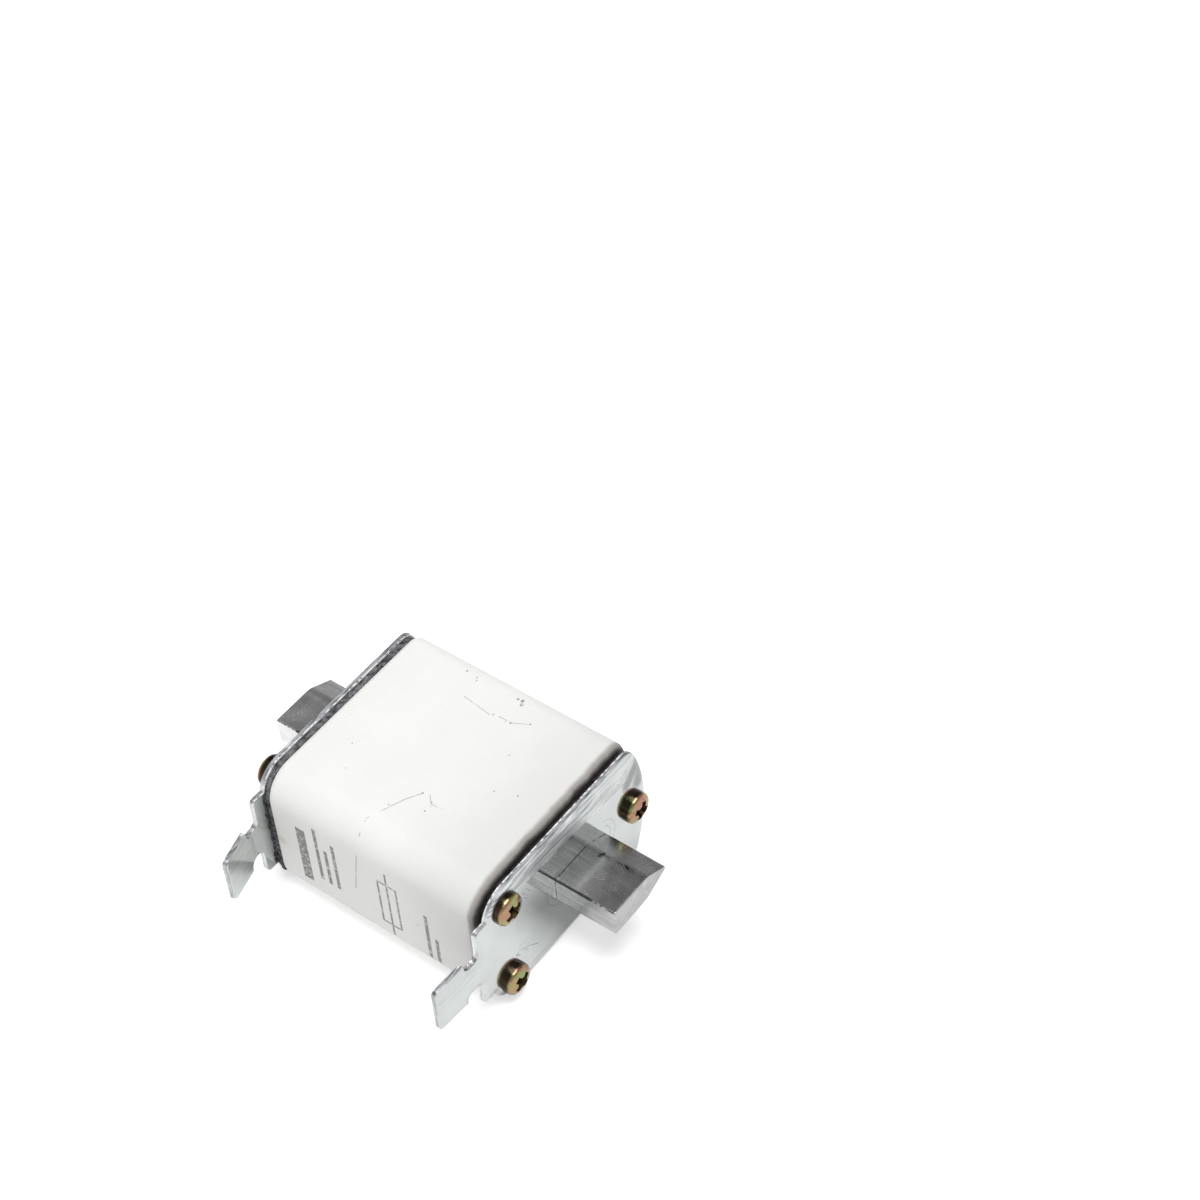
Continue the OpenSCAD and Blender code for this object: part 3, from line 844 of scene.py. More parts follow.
def front_ink(tree, where):
    """Mask of the grey print on the front: plain bars and the symbol for a fuse."""

    def block(low, high):
        """Mask of an upright block of ink between two corners in X and Z."""
        return tree.box(where, (low[0], -BODY_FRONT - 1.0, low[1]),
                        (high[0], INK_DEPTH - BODY_FRONT, high[1]))

    bars = tree.largest([block(low, high) for low, high in INK_BARS])
    (x_low, z_low), (x_high, z_high) = SYMBOL
    inner = block((x_low + SYMBOL_LINE, z_low + SYMBOL_LINE),
                  (x_high - SYMBOL_LINE, z_high - SYMBOL_LINE))
    border = tree.math("SUBTRACT", block(*SYMBOL), inner, clamp=True)
    middle = (x_low + x_high) / 2
    lead = block((middle - SYMBOL_LINE / 2, z_low - SYMBOL_LEAD),
                 (middle + SYMBOL_LINE / 2, z_high + SYMBOL_LEAD))
    worn = tree.ramp(tree.noise(where, 1300, 4, 0.7), 0.34, 0.52, 0.25, 0.82)
    return tree.times(tree.largest([bars, border, lead]), worn)


def end_shade_and_dirt(tree, where, start, stop):
    """Mask that darkens the right end of the ceramic, growing from start to stop: painted shade,
    partly dirt.
    """
    wobble = tree.math("MULTIPLY_ADD", tree.noise(where, 260, 3), 0.0009, -0.00045)
    reach = tree.math("ADD", tree.split(where)["X"], wobble)
    return tree.ramp(reach, start * MM, stop * MM, 0.0, 0.97)


def gasket_fibre(name, dark, light, strand):
    """Pressed fibre, mottled with paler strands."""
    material, tree, shader, where = new_material(name)
    strands = tree.noise(tree.stretched(where, (2600, 500, 500), (0.3, 0.2, 0.1)), 1.0, 4, 0.75)
    lumps = tree.noise(where, 900, 4, 0.7)
    colour = tree.mix(tree.ramp(lumps, 0.4, 0.6), dark, light)
    colour = tree.mix(tree.ramp(strands, 0.58, 0.7), colour, strand)
    tree.feed(shader, {"Base Color": colour, "Roughness": 0.95, "Specular IOR Level": 0.2})
    rough = tree.bump(lumps, 0.00025)
    tree.feed(shader, {"Normal": tree.bump(strands, 0.0001, 1.0, rough)})
    return material


# Marks on the plates, in millimetres. The scratches, as paths with a width, and the painted dark
# reflections near the back corner, as two ends with a width, are on the right plate. The other
# marks are on both.

PLATE_MARKS = [
    ([(26.25, -19.3, 9.4), (26.25, -18.0, 9.6), (26.25, -16.2, 8.4), (26.25, -13.6, 6.2)], 0.1),
    ([(26.25, -19.3, 9.9), (26.25, -18.2, 10.9), (26.25, -16.4, 10.3)], 0.06),
    ([(26.25, -19.5, 9.4), (26.25, -18.8, 8.6)], 0.26),
    ([(26.25, -17.4, 8.7), (26.25, -16.3, 7.6)], 0.12),
    ([(26.25, -16.2, 23.9), (26.25, -15.4, 22.6), (26.25, -14.8, 21.6)], 0.09),
    ([(26.25, -15.6, 24.6), (26.25, -14.7, 23.4), (26.25, -14.2, 22.4)], 0.07),
    ([(26.25, -15.9, 22.2), (26.25, -15.0, 21.2)], 0.07),
    ([(26.25, -14.2, 25.45), (26.25, 2.2, 24.7)], 0.1),
    ([(26.25, 6.6, 24.05), (26.25, 14.1, 23.4)], 0.07),
    ([(26.25, 8.0, 26.6), (26.25, 10.6, 26.3)], 0.06),
    ([(26.25, 2.9, 24.4), (26.25, 3.9, 24.3)], 0.1),
    ([(26.25, 12.6, 25.3), (26.25, 13.6, 26.4), (26.25, 14.4, 26.1), (26.25, 13.9, 25.2)], 0.08),
    ([(26.25, 9.9, 25.2), (26.25, 10.1, 25.1)], 0.16),
    ([(26.25, 11.6, 24.9), (26.25, 11.7, 24.8)], 0.14),
    ([(26.25, 7.7, 17.6), (26.25, 7.8, 17.5)], 0.13),
    ([(26.25, -16.0, 2.6), (26.25, -4.0, 2.4)], 0.08),
]
DARK_REFLECTION_PATCHES = [((26.25, 18.4, 26.4), (26.25, 14.2, 22.2), 1.9),
           ((26.25, 19.4, 25.0), (26.25, 17.6, 20.4), 2.6)]
BRUSHED_FROM = 24.44
BRUSHED_SLOPE = -0.0714
BRUSHED_FADE_Y = 12.0
COIN_CONTOURS = (0.15, 1.5)
COIN_ARC_FROM = 5.5
COIN_ARC_FULL = 8.0
LUG_FROM = -29.5
LUG_FULL = -31.0
BURR_FULL = -32.5
BURR_END = -33.5
BURR_DEPTH = 0.45


def bright_zinc():
    """Mirror-bright zinc plating with wipe marks and scratches, a streaky sheared rim, and painted
    reflections, shade and highlights.
    """
    material, tree, shader, where = new_material("bright_zinc")
    facing = tree.split(tree.add("ShaderNodeNewGeometry").outputs["Normal"])
    sheared = tree.ramp(tree.math("ABSOLUTE", facing["X"]), 0.6, 0.5)
    streaks = tree.noise(tree.stretched(where, (3200, 260, 260)), 1.0, 4, 0.7)
    cloud = tree.noise(where, 90, 4, 0.6)
    wiped = tree.noise(tree.stretched(where, (300, 1500, 120), (0.6, 0, 0)), 1.0, 4, 0.7)
    marks = tree.largest([tree.scratches(where, path, width) for path, width in PLATE_MARKS])
    marks = tree.times(marks, tree.ramp(tree.noise(where, 1800, 2), 0.38, 0.5))
    brushed_and_streaked = brushed_and_reflecting_strip(tree, where)
    colour = tree.mix(tree.ramp(cloud, 0.3, 0.7), (0.60, 0.63, 0.625), (0.68, 0.705, 0.695))
    colour = tree.mix(tree.ramp(wiped, 0.62, 0.8), colour, (0.62, 0.64, 0.65))
    colour = tree.stain(colour, marks, 0.75, (0.10, 0.10, 0.11))
    # Painted shade along the edges of the coined groove.
    colour = tree.stain(colour, coin_shade_lines(tree, where), 0.55, (0.38, 0.40, 0.40))
    # Painted reflection: light and dark streaks in the strip below the upper rim.
    colour = tree.stain(colour, brushed_and_streaked, 0.85, reflection_streaks_colour(tree, where))
    colour = tree.stain(colour, drawn_lug(tree, where), 0.5, (0.30, 0.31, 0.33))
    dark_reflection = tree.largest([tree.scratch(where, *patch) for patch in DARK_REFLECTION_PATCHES])
    # Painted reflection: dark patches at the rolled rim near the back corner.
    colour = tree.stain(colour, dark_reflection, 0.75, (0.2, 0.21, 0.21))
    colour = tree.mix(sheared, colour, sheared_rim(tree, where, facing, streaks))
    # Painted highlight: bright grains on the burr behind the rim.
    burr = tree.times(burr_sparkle(tree, where), sheared)
    colour = tree.mix(burr, colour, (0.97, 0.97, 0.97))
    roughness = tree.math("MULTIPLY_ADD", tree.ramp(cloud, 0.35, 0.75), 0.05, 0.08)
    roughness = tree.math("MULTIPLY_ADD", brushed_and_streaked, 0.27, roughness)
    roughness = tree.math("MULTIPLY_ADD", tree.ramp(wiped, 0.55, 0.8), 0.08, roughness)
    roughness = tree.math("MULTIPLY_ADD", sheared, 0.3, roughness)
    tree.feed(shader, {"Base Color": colour, "Metallic": 1.0, "Roughness": roughness})
    waves = tree.bump(tree.noise(where, 70, 2, 0.5), 0.00012)
    grain = tree.bump(wiped, 0.000004, 1.0, waves)
    torn = tree.bump(tree.times(streaks, sheared), 0.00006, 1.0, grain)
    tree.feed(shader, {"Normal": tree.bump(marks, -0.00003, 1.0, torn)})
    return material


def brushed_and_reflecting_strip(tree, where):
    """Mask of the strip below the upper rim, roughened by brushing along the plate and painted with
    reflection streaks.
    """
    sides = tree.split(where)
    level = tree.math("MULTIPLY_ADD", sides["Y"], -BRUSHED_SLOPE, sides["Z"])
    above = tree.ramp(level, (BRUSHED_FROM - 0.05) * MM, (BRUSHED_FROM + 0.25) * MM)
    return tree.times(above, tree.ramp(sides["Y"], BRUSHED_FADE_Y * MM, 0.0, 0.35, 1.0))


def reflection_streaks_colour(tree, where):
    """Light and dark streaks along the roughened strip: painted reflections."""
    along = tree.stretched(where, (200, 110, 2600), (-BRUSHED_SLOPE, 0, 0))
    lines = tree.ramp(tree.noise(along, 1.0, 3, 0.7), 0.40, 0.56)
    return tree.mix(lines, (0.29, 0.30, 0.32), (0.80, 0.82, 0.82))


def coin_shade_lines(tree, where):
    """Mask of the two faint contours of the coined groove, at both ends of the slot: painted shade.
    """
    sides = tree.split(where)
    along = tree.math("ABSOLUTE", sides["Y"])
    beyond = tree.math("SUBTRACT", along, (COIN[0] - COIN[1]) / 2 * MM)
    place = tree.combine(X=tree.math("MAXIMUM", beyond, 0.0),
                         Y=tree.math("SUBTRACT", sides["Z"], MID_Z * MM))
    depth = tree.math("SUBTRACT", COIN[1] / 2 * MM, tree.vector("LENGTH", place, out="Value"))
    contours = [tree.ramp(tree.math("ABSOLUTE", tree.math("SUBTRACT", depth, inset * MM)),
                          0.2 * MM, 0.06 * MM) for inset in COIN_CONTOURS]
    return tree.times(tree.largest(contours),
                      tree.ramp(along, COIN_ARC_FROM * MM, COIN_ARC_FULL * MM))


def drawn_lug(tree, where):
    """Mask of the dark streaks along the lugs."""
    lines = tree.noise(tree.stretched(where, (300, 50, 1700)), 1.0, 4, 0.7)
    on_lug = tree.ramp(tree.split(where)["Y"], LUG_FROM * MM, LUG_FULL * MM)
    return tree.times(tree.ramp(lines, 0.52, 0.68), on_lug)


def plate_without_head(tree, where):
    """Mask of a plate with its neck, but without the lug's head."""
    return tree.ramp(tree.split(where)["Y"], BURR_END * MM, BURR_FULL * MM)


def sheared_rim(tree, where, facing, streaks):
    """Colour of the cut rim: dark and light streaks, with painted light making it paler where it
    faces forward.
    """
    rim = tree.mix(tree.ramp(streaks, 0.38, 0.55), (0.15, 0.15, 0.165), (0.50, 0.51, 0.53))
    rim = tree.mix(tree.ramp(streaks, 0.62, 0.68), rim, (0.85, 0.86, 0.86))
    share = tree.math("MULTIPLY_ADD", plate_without_head(tree, where), 0.6, 0.4)
    # Painted light: the rim is paler where it faces forward.
    forward = tree.times(tree.ramp(facing["Y"], -0.6, -0.95, 0.0, 0.7), share)
    return tree.mix(forward, rim, (0.92, 0.92, 0.92))


def burr_sparkle(tree, where):
    """Mask of the bright grains on the burr behind a plate's rim: painted highlights."""
    reach = tree.math("ABSOLUTE", tree.split(where)["X"])
    behind = tree.ramp(reach, (PLATE_IN + BURR_DEPTH) * MM, (PLATE_IN + BURR_DEPTH - 0.15) * MM)
    sparkle = tree.ramp(tree.noise(where, 1400, 3), 0.42, 0.56)
    return tree.times(behind, sparkle, plate_without_head(tree, where))


# Marks on the blades, in millimetres, some of them painted light: the lighter band across the top
# is a painted reflection, the edge line partly a painted dark reflection with painted highlights,
# and the root line painted shade. The scuffs are on the right blade, the others on both.

BLADE_SCUFFS = [
    ([(29.2, 1.8, 18.0), (31.0, 1.9, 18.0)], 0.22),
    ([(29.9, 2.2, 18.0), (29.5, 1.2, 18.0)], 0.4),
    ([(32.6, 1.9, 18.0), (36.4, 2.0, 18.0)], 0.2),
    ([(34.6, 2.2, 18.0), (35.3, 1.8, 18.0)], 0.4),
    ([(27.0, 1.9, 18.0), (38.6, 2.0, 18.0)], 0.09),
]
REFLECTION_BAND = ((30.1, -7.6, 17.0), (31.0, 1.7, 19.0))
MILLING = ((29.0, -7.7, 12.7), (34.0, -7.3, 15.0))
MILLING_PITCH = 0.42
ROOT_LINE_W = 0.12
EDGE_DASHES = 34.0
EDGE_LINE_W = 0.36
EDGE_LINE_THIN = 0.18


def satin_blade(name, dark, light, grain):
    """Plated copper: satin pewter faces with bright grains, scuffs and milling marks."""
    material, tree, shader, where = new_material(name)
    cloud = tree.noise(where, 260, 4, 0.65)
    drawn = tree.noise(tree.stretched(where, (60, 900, 900)), 1.0, 4, 0.6)
    grit = tree.times(tree.ramp(tree.cells(where, 2600), 0.28, 0.12),
                      tree.ramp(tree.noise(where, 500, 2), 0.45, 0.65))
    scuffs = tree.largest([tree.scratches(where, path, width) for path, width in BLADE_SCUFFS])
    scuffs = tree.times(scuffs, tree.ramp(tree.noise(where, 1500, 3), 0.32, 0.48))
    band = tree.box(both_ends(tree, where), *REFLECTION_BAND, soft=0.45)
    edge, edge_glints = edge_dark_line_and_glints(tree, where)
    colour = tree.mix(tree.ramp(cloud, 0.3, 0.7), dark, light)
    colour = tree.mix(tree.ramp(drawn, 0.55, 0.75), colour, (0.65, 0.655, 0.65))
    colour = tree.stain(colour, grit, grain, (0.9, 0.9, 0.9))
    # Painted reflection: a lighter band across the blade's top.
    colour = tree.stain(colour, band, 0.45, (0.82, 0.80, 0.80))
    # Dark line along the square edge: partly painted dark reflection.
    colour = tree.stain(colour, edge, 0.9, (0.03, 0.03, 0.03))
    # Painted highlights: bright glints along the edge near the tip.
    colour = tree.mix(edge_glints, colour, (0.95, 0.95, 0.92))
    colour = tree.stain(colour, scuffs, 0.9, (0.02, 0.02, 0.022))
    colour = tree.stain(colour, milling_marks(tree, where), 0.5, (0.12, 0.12, 0.12))
    # Painted shade where the blade meets its plate.
    colour = tree.mix(root_shade_line(tree, where), colour, (0.03, 0.03, 0.03))
    roughness = tree.math("ADD", tree.times(grit, grain * 0.4),
                          tree.math("MULTIPLY_ADD", cloud, 0.15, 0.15))
    tree.feed(shader, {"Base Color": colour, "Metallic": 1.0, "Roughness": roughness})
    satin = tree.bump(tree.noise(where, 3500, 2, 0.6), 0.00001)
    lines = tree.bump(drawn, 0.000008, 1.0, satin)
    tree.feed(shader, {"Normal": tree.bump(scuffs, -0.00003, 1.0, lines)})
    return material


def milling_marks(tree, where):
    """Mask of the short parallel marks that a cutter left on the square edge."""
    mirrored = both_ends(tree, where)
    turns = tree.times(tree.split(mirrored)["X"], math.tau / (MILLING_PITCH * MM))
    strokes = tree.ramp(tree.math("SINE", turns), 0.3, 0.8)
    patch = tree.box(mirrored, *MILLING, soft=0.25)
    return tree.times(strokes, patch, tree.ramp(tree.noise(where, 900, 2), 0.35, 0.55))


def root_shade_line(tree, where):
    """Mask of the dark line where a blade stands on its plate: painted shade in the corner."""
    reach = tree.math("ABSOLUTE", tree.split(where)["X"])
    near = tree.ramp(reach, (PLATE_OUT + ROOT_LINE_W) * MM, (PLATE_OUT + 0.05) * MM)
    return tree.times(near, tree.ramp(tree.noise(where, 1100, 2), 0.36, 0.5))


def edge_dark_line_and_glints(tree, where):
    """Masks of the dark line along the square edge's corners, partly a painted dark reflection, and
    of its bright glints, painted highlights.
    """
    sides = tree.split(where)
    height = tree.math("ABSOLUTE", tree.math("SUBTRACT", sides["Z"], MID_Z * MM))
    side = tree.math("ABSOLUTE", tree.math("ADD", sides["Y"], BLADE_HALF_W * MM))
    near_top = tree.math("SUBTRACT", BLADE_HALF_T * MM, height)
    gap = tree.math("MAXIMUM", tree.math("ABSOLUTE", near_top), side)
    dashed = tree.ramp(tree.math("ABSOLUTE", sides["X"]), EDGE_DASHES * MM,
                       (EDGE_DASHES + 0.6) * MM)
    width = tree.math("MULTIPLY_ADD", dashed, (EDGE_LINE_THIN - EDGE_LINE_W) * MM,
                      EDGE_LINE_W * MM)
    edge = tree.ramp(tree.math("SUBTRACT", gap, width), 0.08 * MM, -0.06 * MM)
    core = tree.ramp(gap, 0.22 * MM, 0.1 * MM)
    sparkle = tree.ramp(tree.noise(where, 1500, 2), 0.48, 0.54)
    return edge, tree.times(core, sparkle, dashed)


# A screw's head is painted darker towards the plate, as painted shade, between these distances from
# the middle, in millimetres.

SCREW_SHADE = (27.6, 27.0)


def yellow_chromate():
    """Yellow chromate over zinc: gold with green and pink tints, with painted shade in the recess
    and towards the plate.
    """
    material, tree, shader, where = new_material("yellow_chromate")
    tint = tree.noise(where, 420, 3, 0.6, 0.6)
    colour = tree.mix(tree.ramp(tint, 0.4, 0.5), (0.31, 0.34, 0.15), (0.45, 0.31, 0.16))
    colour = tree.mix(tree.ramp(tint, 0.5, 0.6), colour, (0.47, 0.25, 0.19))
    soot = tree.ramp(tree.noise(where, 900, 4, 0.7), 0.5, 0.75)
    colour = tree.stain(colour, soot, 0.5, (0.07, 0.055, 0.04))
    # Painted shade: the recess of the cross is coloured near-black.
    inner = tree.add("ShaderNodeAttribute", attribute_name="recess")
    dark = tree.times(inner.outputs["Fac"], 0.85)
    colour = tree.mix(dark, colour, (0.045, 0.015, 0.009))
    # Painted shade on the head's side towards the plate.
    reach = tree.math("ABSOLUTE", tree.split(where)["X"])
    low = tree.ramp(reach, SCREW_SHADE[0] * MM, SCREW_SHADE[1] * MM, 0.0, 0.93)
    colour = tree.mix(low, colour, (0.03, 0.02, 0.015))
    roughness = tree.math("MULTIPLY_ADD", dark, 0.4,
                          tree.math("MULTIPLY_ADD", soot, 0.25, 0.2))
    tree.feed(shader, {"Base Color": colour, "Metallic": 1.0, "Roughness": roughness})
    tree.feed(shader, {"Normal": tree.bump(tree.noise(where, 1500, 3), 0.00003)})
    return material


def pressed_aluminium():
    """Soft aluminium of the plug, a little cloudy and uneven."""
    material, tree, shader, where = new_material("pressed_aluminium")
    cloud = tree.noise(where, 500, 3, 0.6)
    colour = tree.mix(tree.ramp(cloud, 0.3, 0.7), (0.62, 0.63, 0.64), (0.75, 0.76, 0.77))
    tree.feed(shader, {"Base Color": colour, "Metallic": 1.0,
                       "Roughness": tree.math("MULTIPLY_ADD", cloud, 0.2, 0.22)})
    tree.feed(shader, {"Normal": tree.bump(tree.noise(where, 1200, 3), 0.00003)})
    return material


def inner_finish(name, dark, light, scale, metallic, roughness):
    """Finish of a piece sealed inside the body: a two-tone grain."""
    material, tree, shader, where = new_material(name)
    grain = tree.noise(where, scale, 4, 0.7)
    colour = tree.mix(tree.ramp(grain, 0.35, 0.65), dark, light)
    tree.feed(shader, {"Base Color": colour, "Metallic": metallic, "Roughness": roughness})
    tree.feed(shader, {"Normal": tree.bump(grain, 0.00005)})
    return material


# Sizes of a screw in millimetres, and how far each one is turned, in degrees. The block that
# cuts a recess is so many times higher than the recess is deep, and the top of the head's rim
# moves in or out by a share of its radius.

SCREW_SIZES = {
    "Head Diameter": 6.3, "Rim Height": 1.3, "Dome Height": 0.9, "Cross Length": 4.5,
    "Cross Width": 1.4, "Cross Depth": 1.5, "Shank Diameter": 3.3, "Shank Length": 12.0,
    "Point Length": 2.0,
}
SCREW_TURNS = {"right": (35, 20, 62), "left": (10, 48, 75)}
RECESS_CUTTER = 1.4
HEAD_TUCK = -0.045


def screw_tree(material):
    """Geometry node tree that puts one cross-recessed screw on every point it is given."""
    group = bpy.data.node_groups.new("plate_screws", "GeometryNodeTree")
    group.interface.new_socket("Geometry", in_out="INPUT", socket_type="NodeSocketGeometry")
    for name, size in SCREW_SIZES.items():
        socket = group.interface.new_socket(name, in_out="INPUT", socket_type="NodeSocketFloat")
        socket.default_value = size * MM
    group.interface.new_socket("Geometry", in_out="OUTPUT", socket_type="NodeSocketGeometry")
    tree = Tree(group)
    size = tree.add("NodeGroupInput").outputs
    head = recessed_head(tree, size)
    shank, point = screw_shank(tree, size)
    turn = tree.add("GeometryNodeInputNamedAttribute", data_type="FLOAT_VECTOR")
    tree.feed(turn, {"Name": "turn"})
    placed = tree.feed(tree.add("GeometryNodeInstanceOnPoints"), {
        "Points": size["Geometry"], "Instance": joined(tree, [head, shank, point]),
        "Rotation": turn.outputs["Attribute"]})
    real = tree.feed(tree.add("GeometryNodeRealizeInstances"), {
        "Geometry": placed.outputs["Instances"]})
    painted = tree.feed(tree.add("GeometryNodeSetMaterial"), {
        "Geometry": real.outputs["Geometry"], "Material": material})
    result = tree.add("NodeGroupOutput")
    tree.link(painted.outputs["Geometry"], result.inputs[0])
    return group


def recessed_head(tree, size):
    """Domed head with its cross cut out, and the faces of the cross marked as recess."""
    radius = tree.math("DIVIDE", size["Head Diameter"], 2.0)
    height = tree.math("ADD", size["Rim Height"], size["Dome Height"])
    low = tree.math("SUBTRACT", height, size["Cross Depth"])
    drilled = tree.add("GeometryNodeMeshBoolean", operation="DIFFERENCE", solver="EXACT")
    tree.link(domed_cylinder(tree, radius, height, size["Dome Height"]),
              drilled.inputs["Mesh 1"])
    for cutter in (recess_arm(tree, size, low, 0.0), recess_arm(tree, size, low, math.pi / 2),
                   recess_core(tree, size, low)):
        tree.link(cutter, drilled.inputs["Mesh 2"])
    marked = tree.add("GeometryNodeStoreNamedAttribute", data_type="FLOAT", domain="FACE")
    tree.feed(marked, {"Geometry": drilled.outputs["Mesh"], "Name": "recess",
                       "Value": recess_faces(tree, size, height)})
    return marked.outputs["Geometry"]


def screw_shank(tree, size):
    """Straight shank below the head, and the point at its end."""
    radius = tree.math("DIVIDE", size["Shank Diameter"], 2.0)
    straight = tree.math("SUBTRACT", size["Shank Length"], size["Point Length"])
    shank = tree.feed(tree.add("GeometryNodeMeshCylinder"), {
        "Vertices": 32, "Radius": radius, "Depth": straight})
    point = tree.feed(tree.add("GeometryNodeMeshCone"), {
        "Vertices": 32, "Radius Bottom": tree.math("DIVIDE", radius, 3.0),
        "Radius Top": radius, "Depth": size["Point Length"]})
    return (moved(tree, shank.outputs["Mesh"], tree.math("MULTIPLY", straight, -0.5)),
            moved(tree, point.outputs["Mesh"], tree.math("MULTIPLY", size["Shank Length"], -1.0)))


def joined(tree, parts):
    """Several meshes as one."""
    node = tree.add("GeometryNodeJoinGeometry")
    for part in parts:
        tree.link(part, node.inputs["Geometry"])
    return node.outputs["Geometry"]


def moved(tree, geometry, z):
    """A mesh moved along its axis."""
    node = tree.feed(tree.add("GeometryNodeTransform"), {
        "Geometry": geometry, "Translation": tree.combine(Z=z)})
    return node.outputs["Geometry"]


def from_axis(tree, sides):
    """A place without its height above the screw's seat."""
    return tree.combine(X=sides["X"], Y=sides["Y"])


def domed_cylinder(tree, radius, height, dome):
    """Pan head: a cylinder whose top falls away towards a softened rim."""
    blank = tree.feed(tree.add("GeometryNodeMeshCylinder"), {
        "Vertices": 48, "Side Segments": 6, "Fill Segments": 14,
        "Radius": radius, "Depth": height})
    lifted = moved(tree, blank.outputs["Mesh"], tree.math("MULTIPLY", height, 0.5))
    sides = tree.split(tree.add("GeometryNodeInputPosition").outputs[0])
    flat = from_axis(tree, sides)
    out = tree.math("DIVIDE", tree.vector("LENGTH", flat, out="Value"), radius)
    share = tree.math("DIVIDE", sides["Z"], height)
    upper = tree.times(share, share)
    drop = tree.times(tree.math("POWER", out, 3.0), dome, upper)
    tuck = tree.times(tree.ramp(out, 0.9, 1.0), upper, HEAD_TUCK)
    offset = tree.vector("ADD", tree.scaled(flat, tuck),
                         tree.combine(Z=tree.math("MULTIPLY", drop, -1.0)))
    shaped = tree.feed(tree.add("GeometryNodeSetPosition"), {
        "Geometry": lifted, "Offset": offset})
    return shaped.outputs["Geometry"]


def recess_arm(tree, size, low, turn):
    """One arm of the cross: a block that narrows towards the recess's floor."""
    deep = tree.math("MULTIPLY", size["Cross Depth"], RECESS_CUTTER)
    cube = tree.feed(tree.add("GeometryNodeMeshCube"), {
        "Size": tree.combine(X=size["Cross Length"], Y=size["Cross Width"], Z=deep),
        "Vertices X": 2, "Vertices Y": 2, "Vertices Z": 2})
    sides = tree.split(tree.add("GeometryNodeInputPosition").outputs[0])
    narrow = tree.combine(X=tree.math("MULTIPLY", sides["X"], -0.38),
                          Y=tree.math("MULTIPLY", sides["Y"], -0.3))
    tapered = tree.feed(tree.add("GeometryNodeSetPosition"), {
        "Geometry": cube.outputs["Mesh"], "Offset": narrow,
        "Selection": tree.math("LESS_THAN", sides["Z"], 0.0)})
    middle = tree.math("ADD", low, tree.math("MULTIPLY", deep, 0.5))
    node = tree.feed(tree.add("GeometryNodeTransform"), {
        "Geometry": tapered.outputs["Geometry"], "Translation": tree.combine(Z=middle),
        "Rotation": (0.0, 0.0, turn)})
    return node.outputs["Geometry"]


def recess_core(tree, size, low):
    """The wider middle of the cross: a cone that narrows towards the recess's floor."""
    deep = tree.math("MULTIPLY", size["Cross Depth"], RECESS_CUTTER)
    cone = tree.feed(tree.add("GeometryNodeMeshCone"), {
        "Vertices": 24, "Radius Bottom": tree.math("MULTIPLY", size["Cross Width"], 0.5),
        "Radius Top": tree.math("MULTIPLY", size["Cross Width"], 1.05), "Depth": deep})
    return moved(tree, cone.outputs["Mesh"], tree.math("MULTIPLY_ADD", deep, 0.02, low))


def recess_faces(tree, size, height):
    """One on faces that lie under the dome and within the cross, else nothing."""
    sides = tree.split(tree.add("GeometryNodeInputPosition").outputs[0])
    out = tree.vector("LENGTH", from_axis(tree, sides), out="Value")
    near = tree.math("LESS_THAN", out, tree.math("MULTIPLY", size["Cross Length"], 0.52))
    sunk = tree.math("SUBTRACT", height, tree.math("MULTIPLY", size["Cross Depth"], 0.2))
    under = tree.math("LESS_THAN", sides["Z"], sunk)
    above = tree.math("GREATER_THAN", sides["Z"], tree.math("MULTIPLY", height, 0.05))
    return tree.times(near, under, above)


def plate_screws(material):
    """All six screws as one piece, each turned as it happened to stop."""
    points = []
    rotations = []
    for end, sign in (("right", 1), ("left", -1)):
        for (y, z), degrees in zip(SCREW_PLACES, SCREW_TURNS[end]):
            points.append((sign * PLATE_OUT * MM, y * MM, (MID_Z + z) * MM))
            facing = Matrix.Rotation(sign * math.pi / 2, 3, "Y")
            spun = facing @ Matrix.Rotation(math.radians(degrees), 3, "Z")
            rotations += list(spun.to_euler())
    data = bpy.data.meshes.new("plate_screws")
    data.from_pydata(points, [], [])
    data.attributes.new("turn", "FLOAT_VECTOR", "POINT").data.foreach_set("vector", rotations)
    piece = bpy.data.objects.new("plate_screws", data)
    bpy.context.scene.collection.objects.link(piece)
    modifier = piece.modifiers.new("Screws", "NODES")
    modifier.node_group = screw_tree(material)
    for item in modifier.node_group.interface.items_tree:
        if item.name in SCREW_SIZES:
            modifier[item.identifier] = SCREW_SIZES[item.name] * MM
    plain_mesh(piece)
    piece.data.shade_smooth()
    piece.data.set_sharp_from_angle(angle=math.radians(38))
    return piece


# How bright the floor and the sky are: seen by the camera, mirrored in the object, low down,
# overhead, and on the side that the tops of the blades mirror. The floor is in metres, and the
# key light's spread in degrees.

SEEN_GLOW = 0.45
MIRRORED_GLOW = 0.05
SKY_HORIZON = 0.85
SKY_OVERHEAD = 0.35
SKY_DARK = 0.25
SKY_DARK_SIDE = (-0.45, 0.8, 0.4)
FLOOR_HALF = 3.0
KEY_SIDE = (0.08, 0.04, 0.99)
KEY_SPREAD = 40
KEY_STRENGTH = 2.35


def seen_and_mirrored(tree):
    """One where the camera sees the background itself, and one where a surface mirrors it."""
    path = tree.add("ShaderNodeLightPath").outputs
    mirrored = tree.math("ADD", path["Is Glossy Ray"], path["Is Transmission Ray"], clamp=True)
    return path["Is Camera Ray"], mirrored


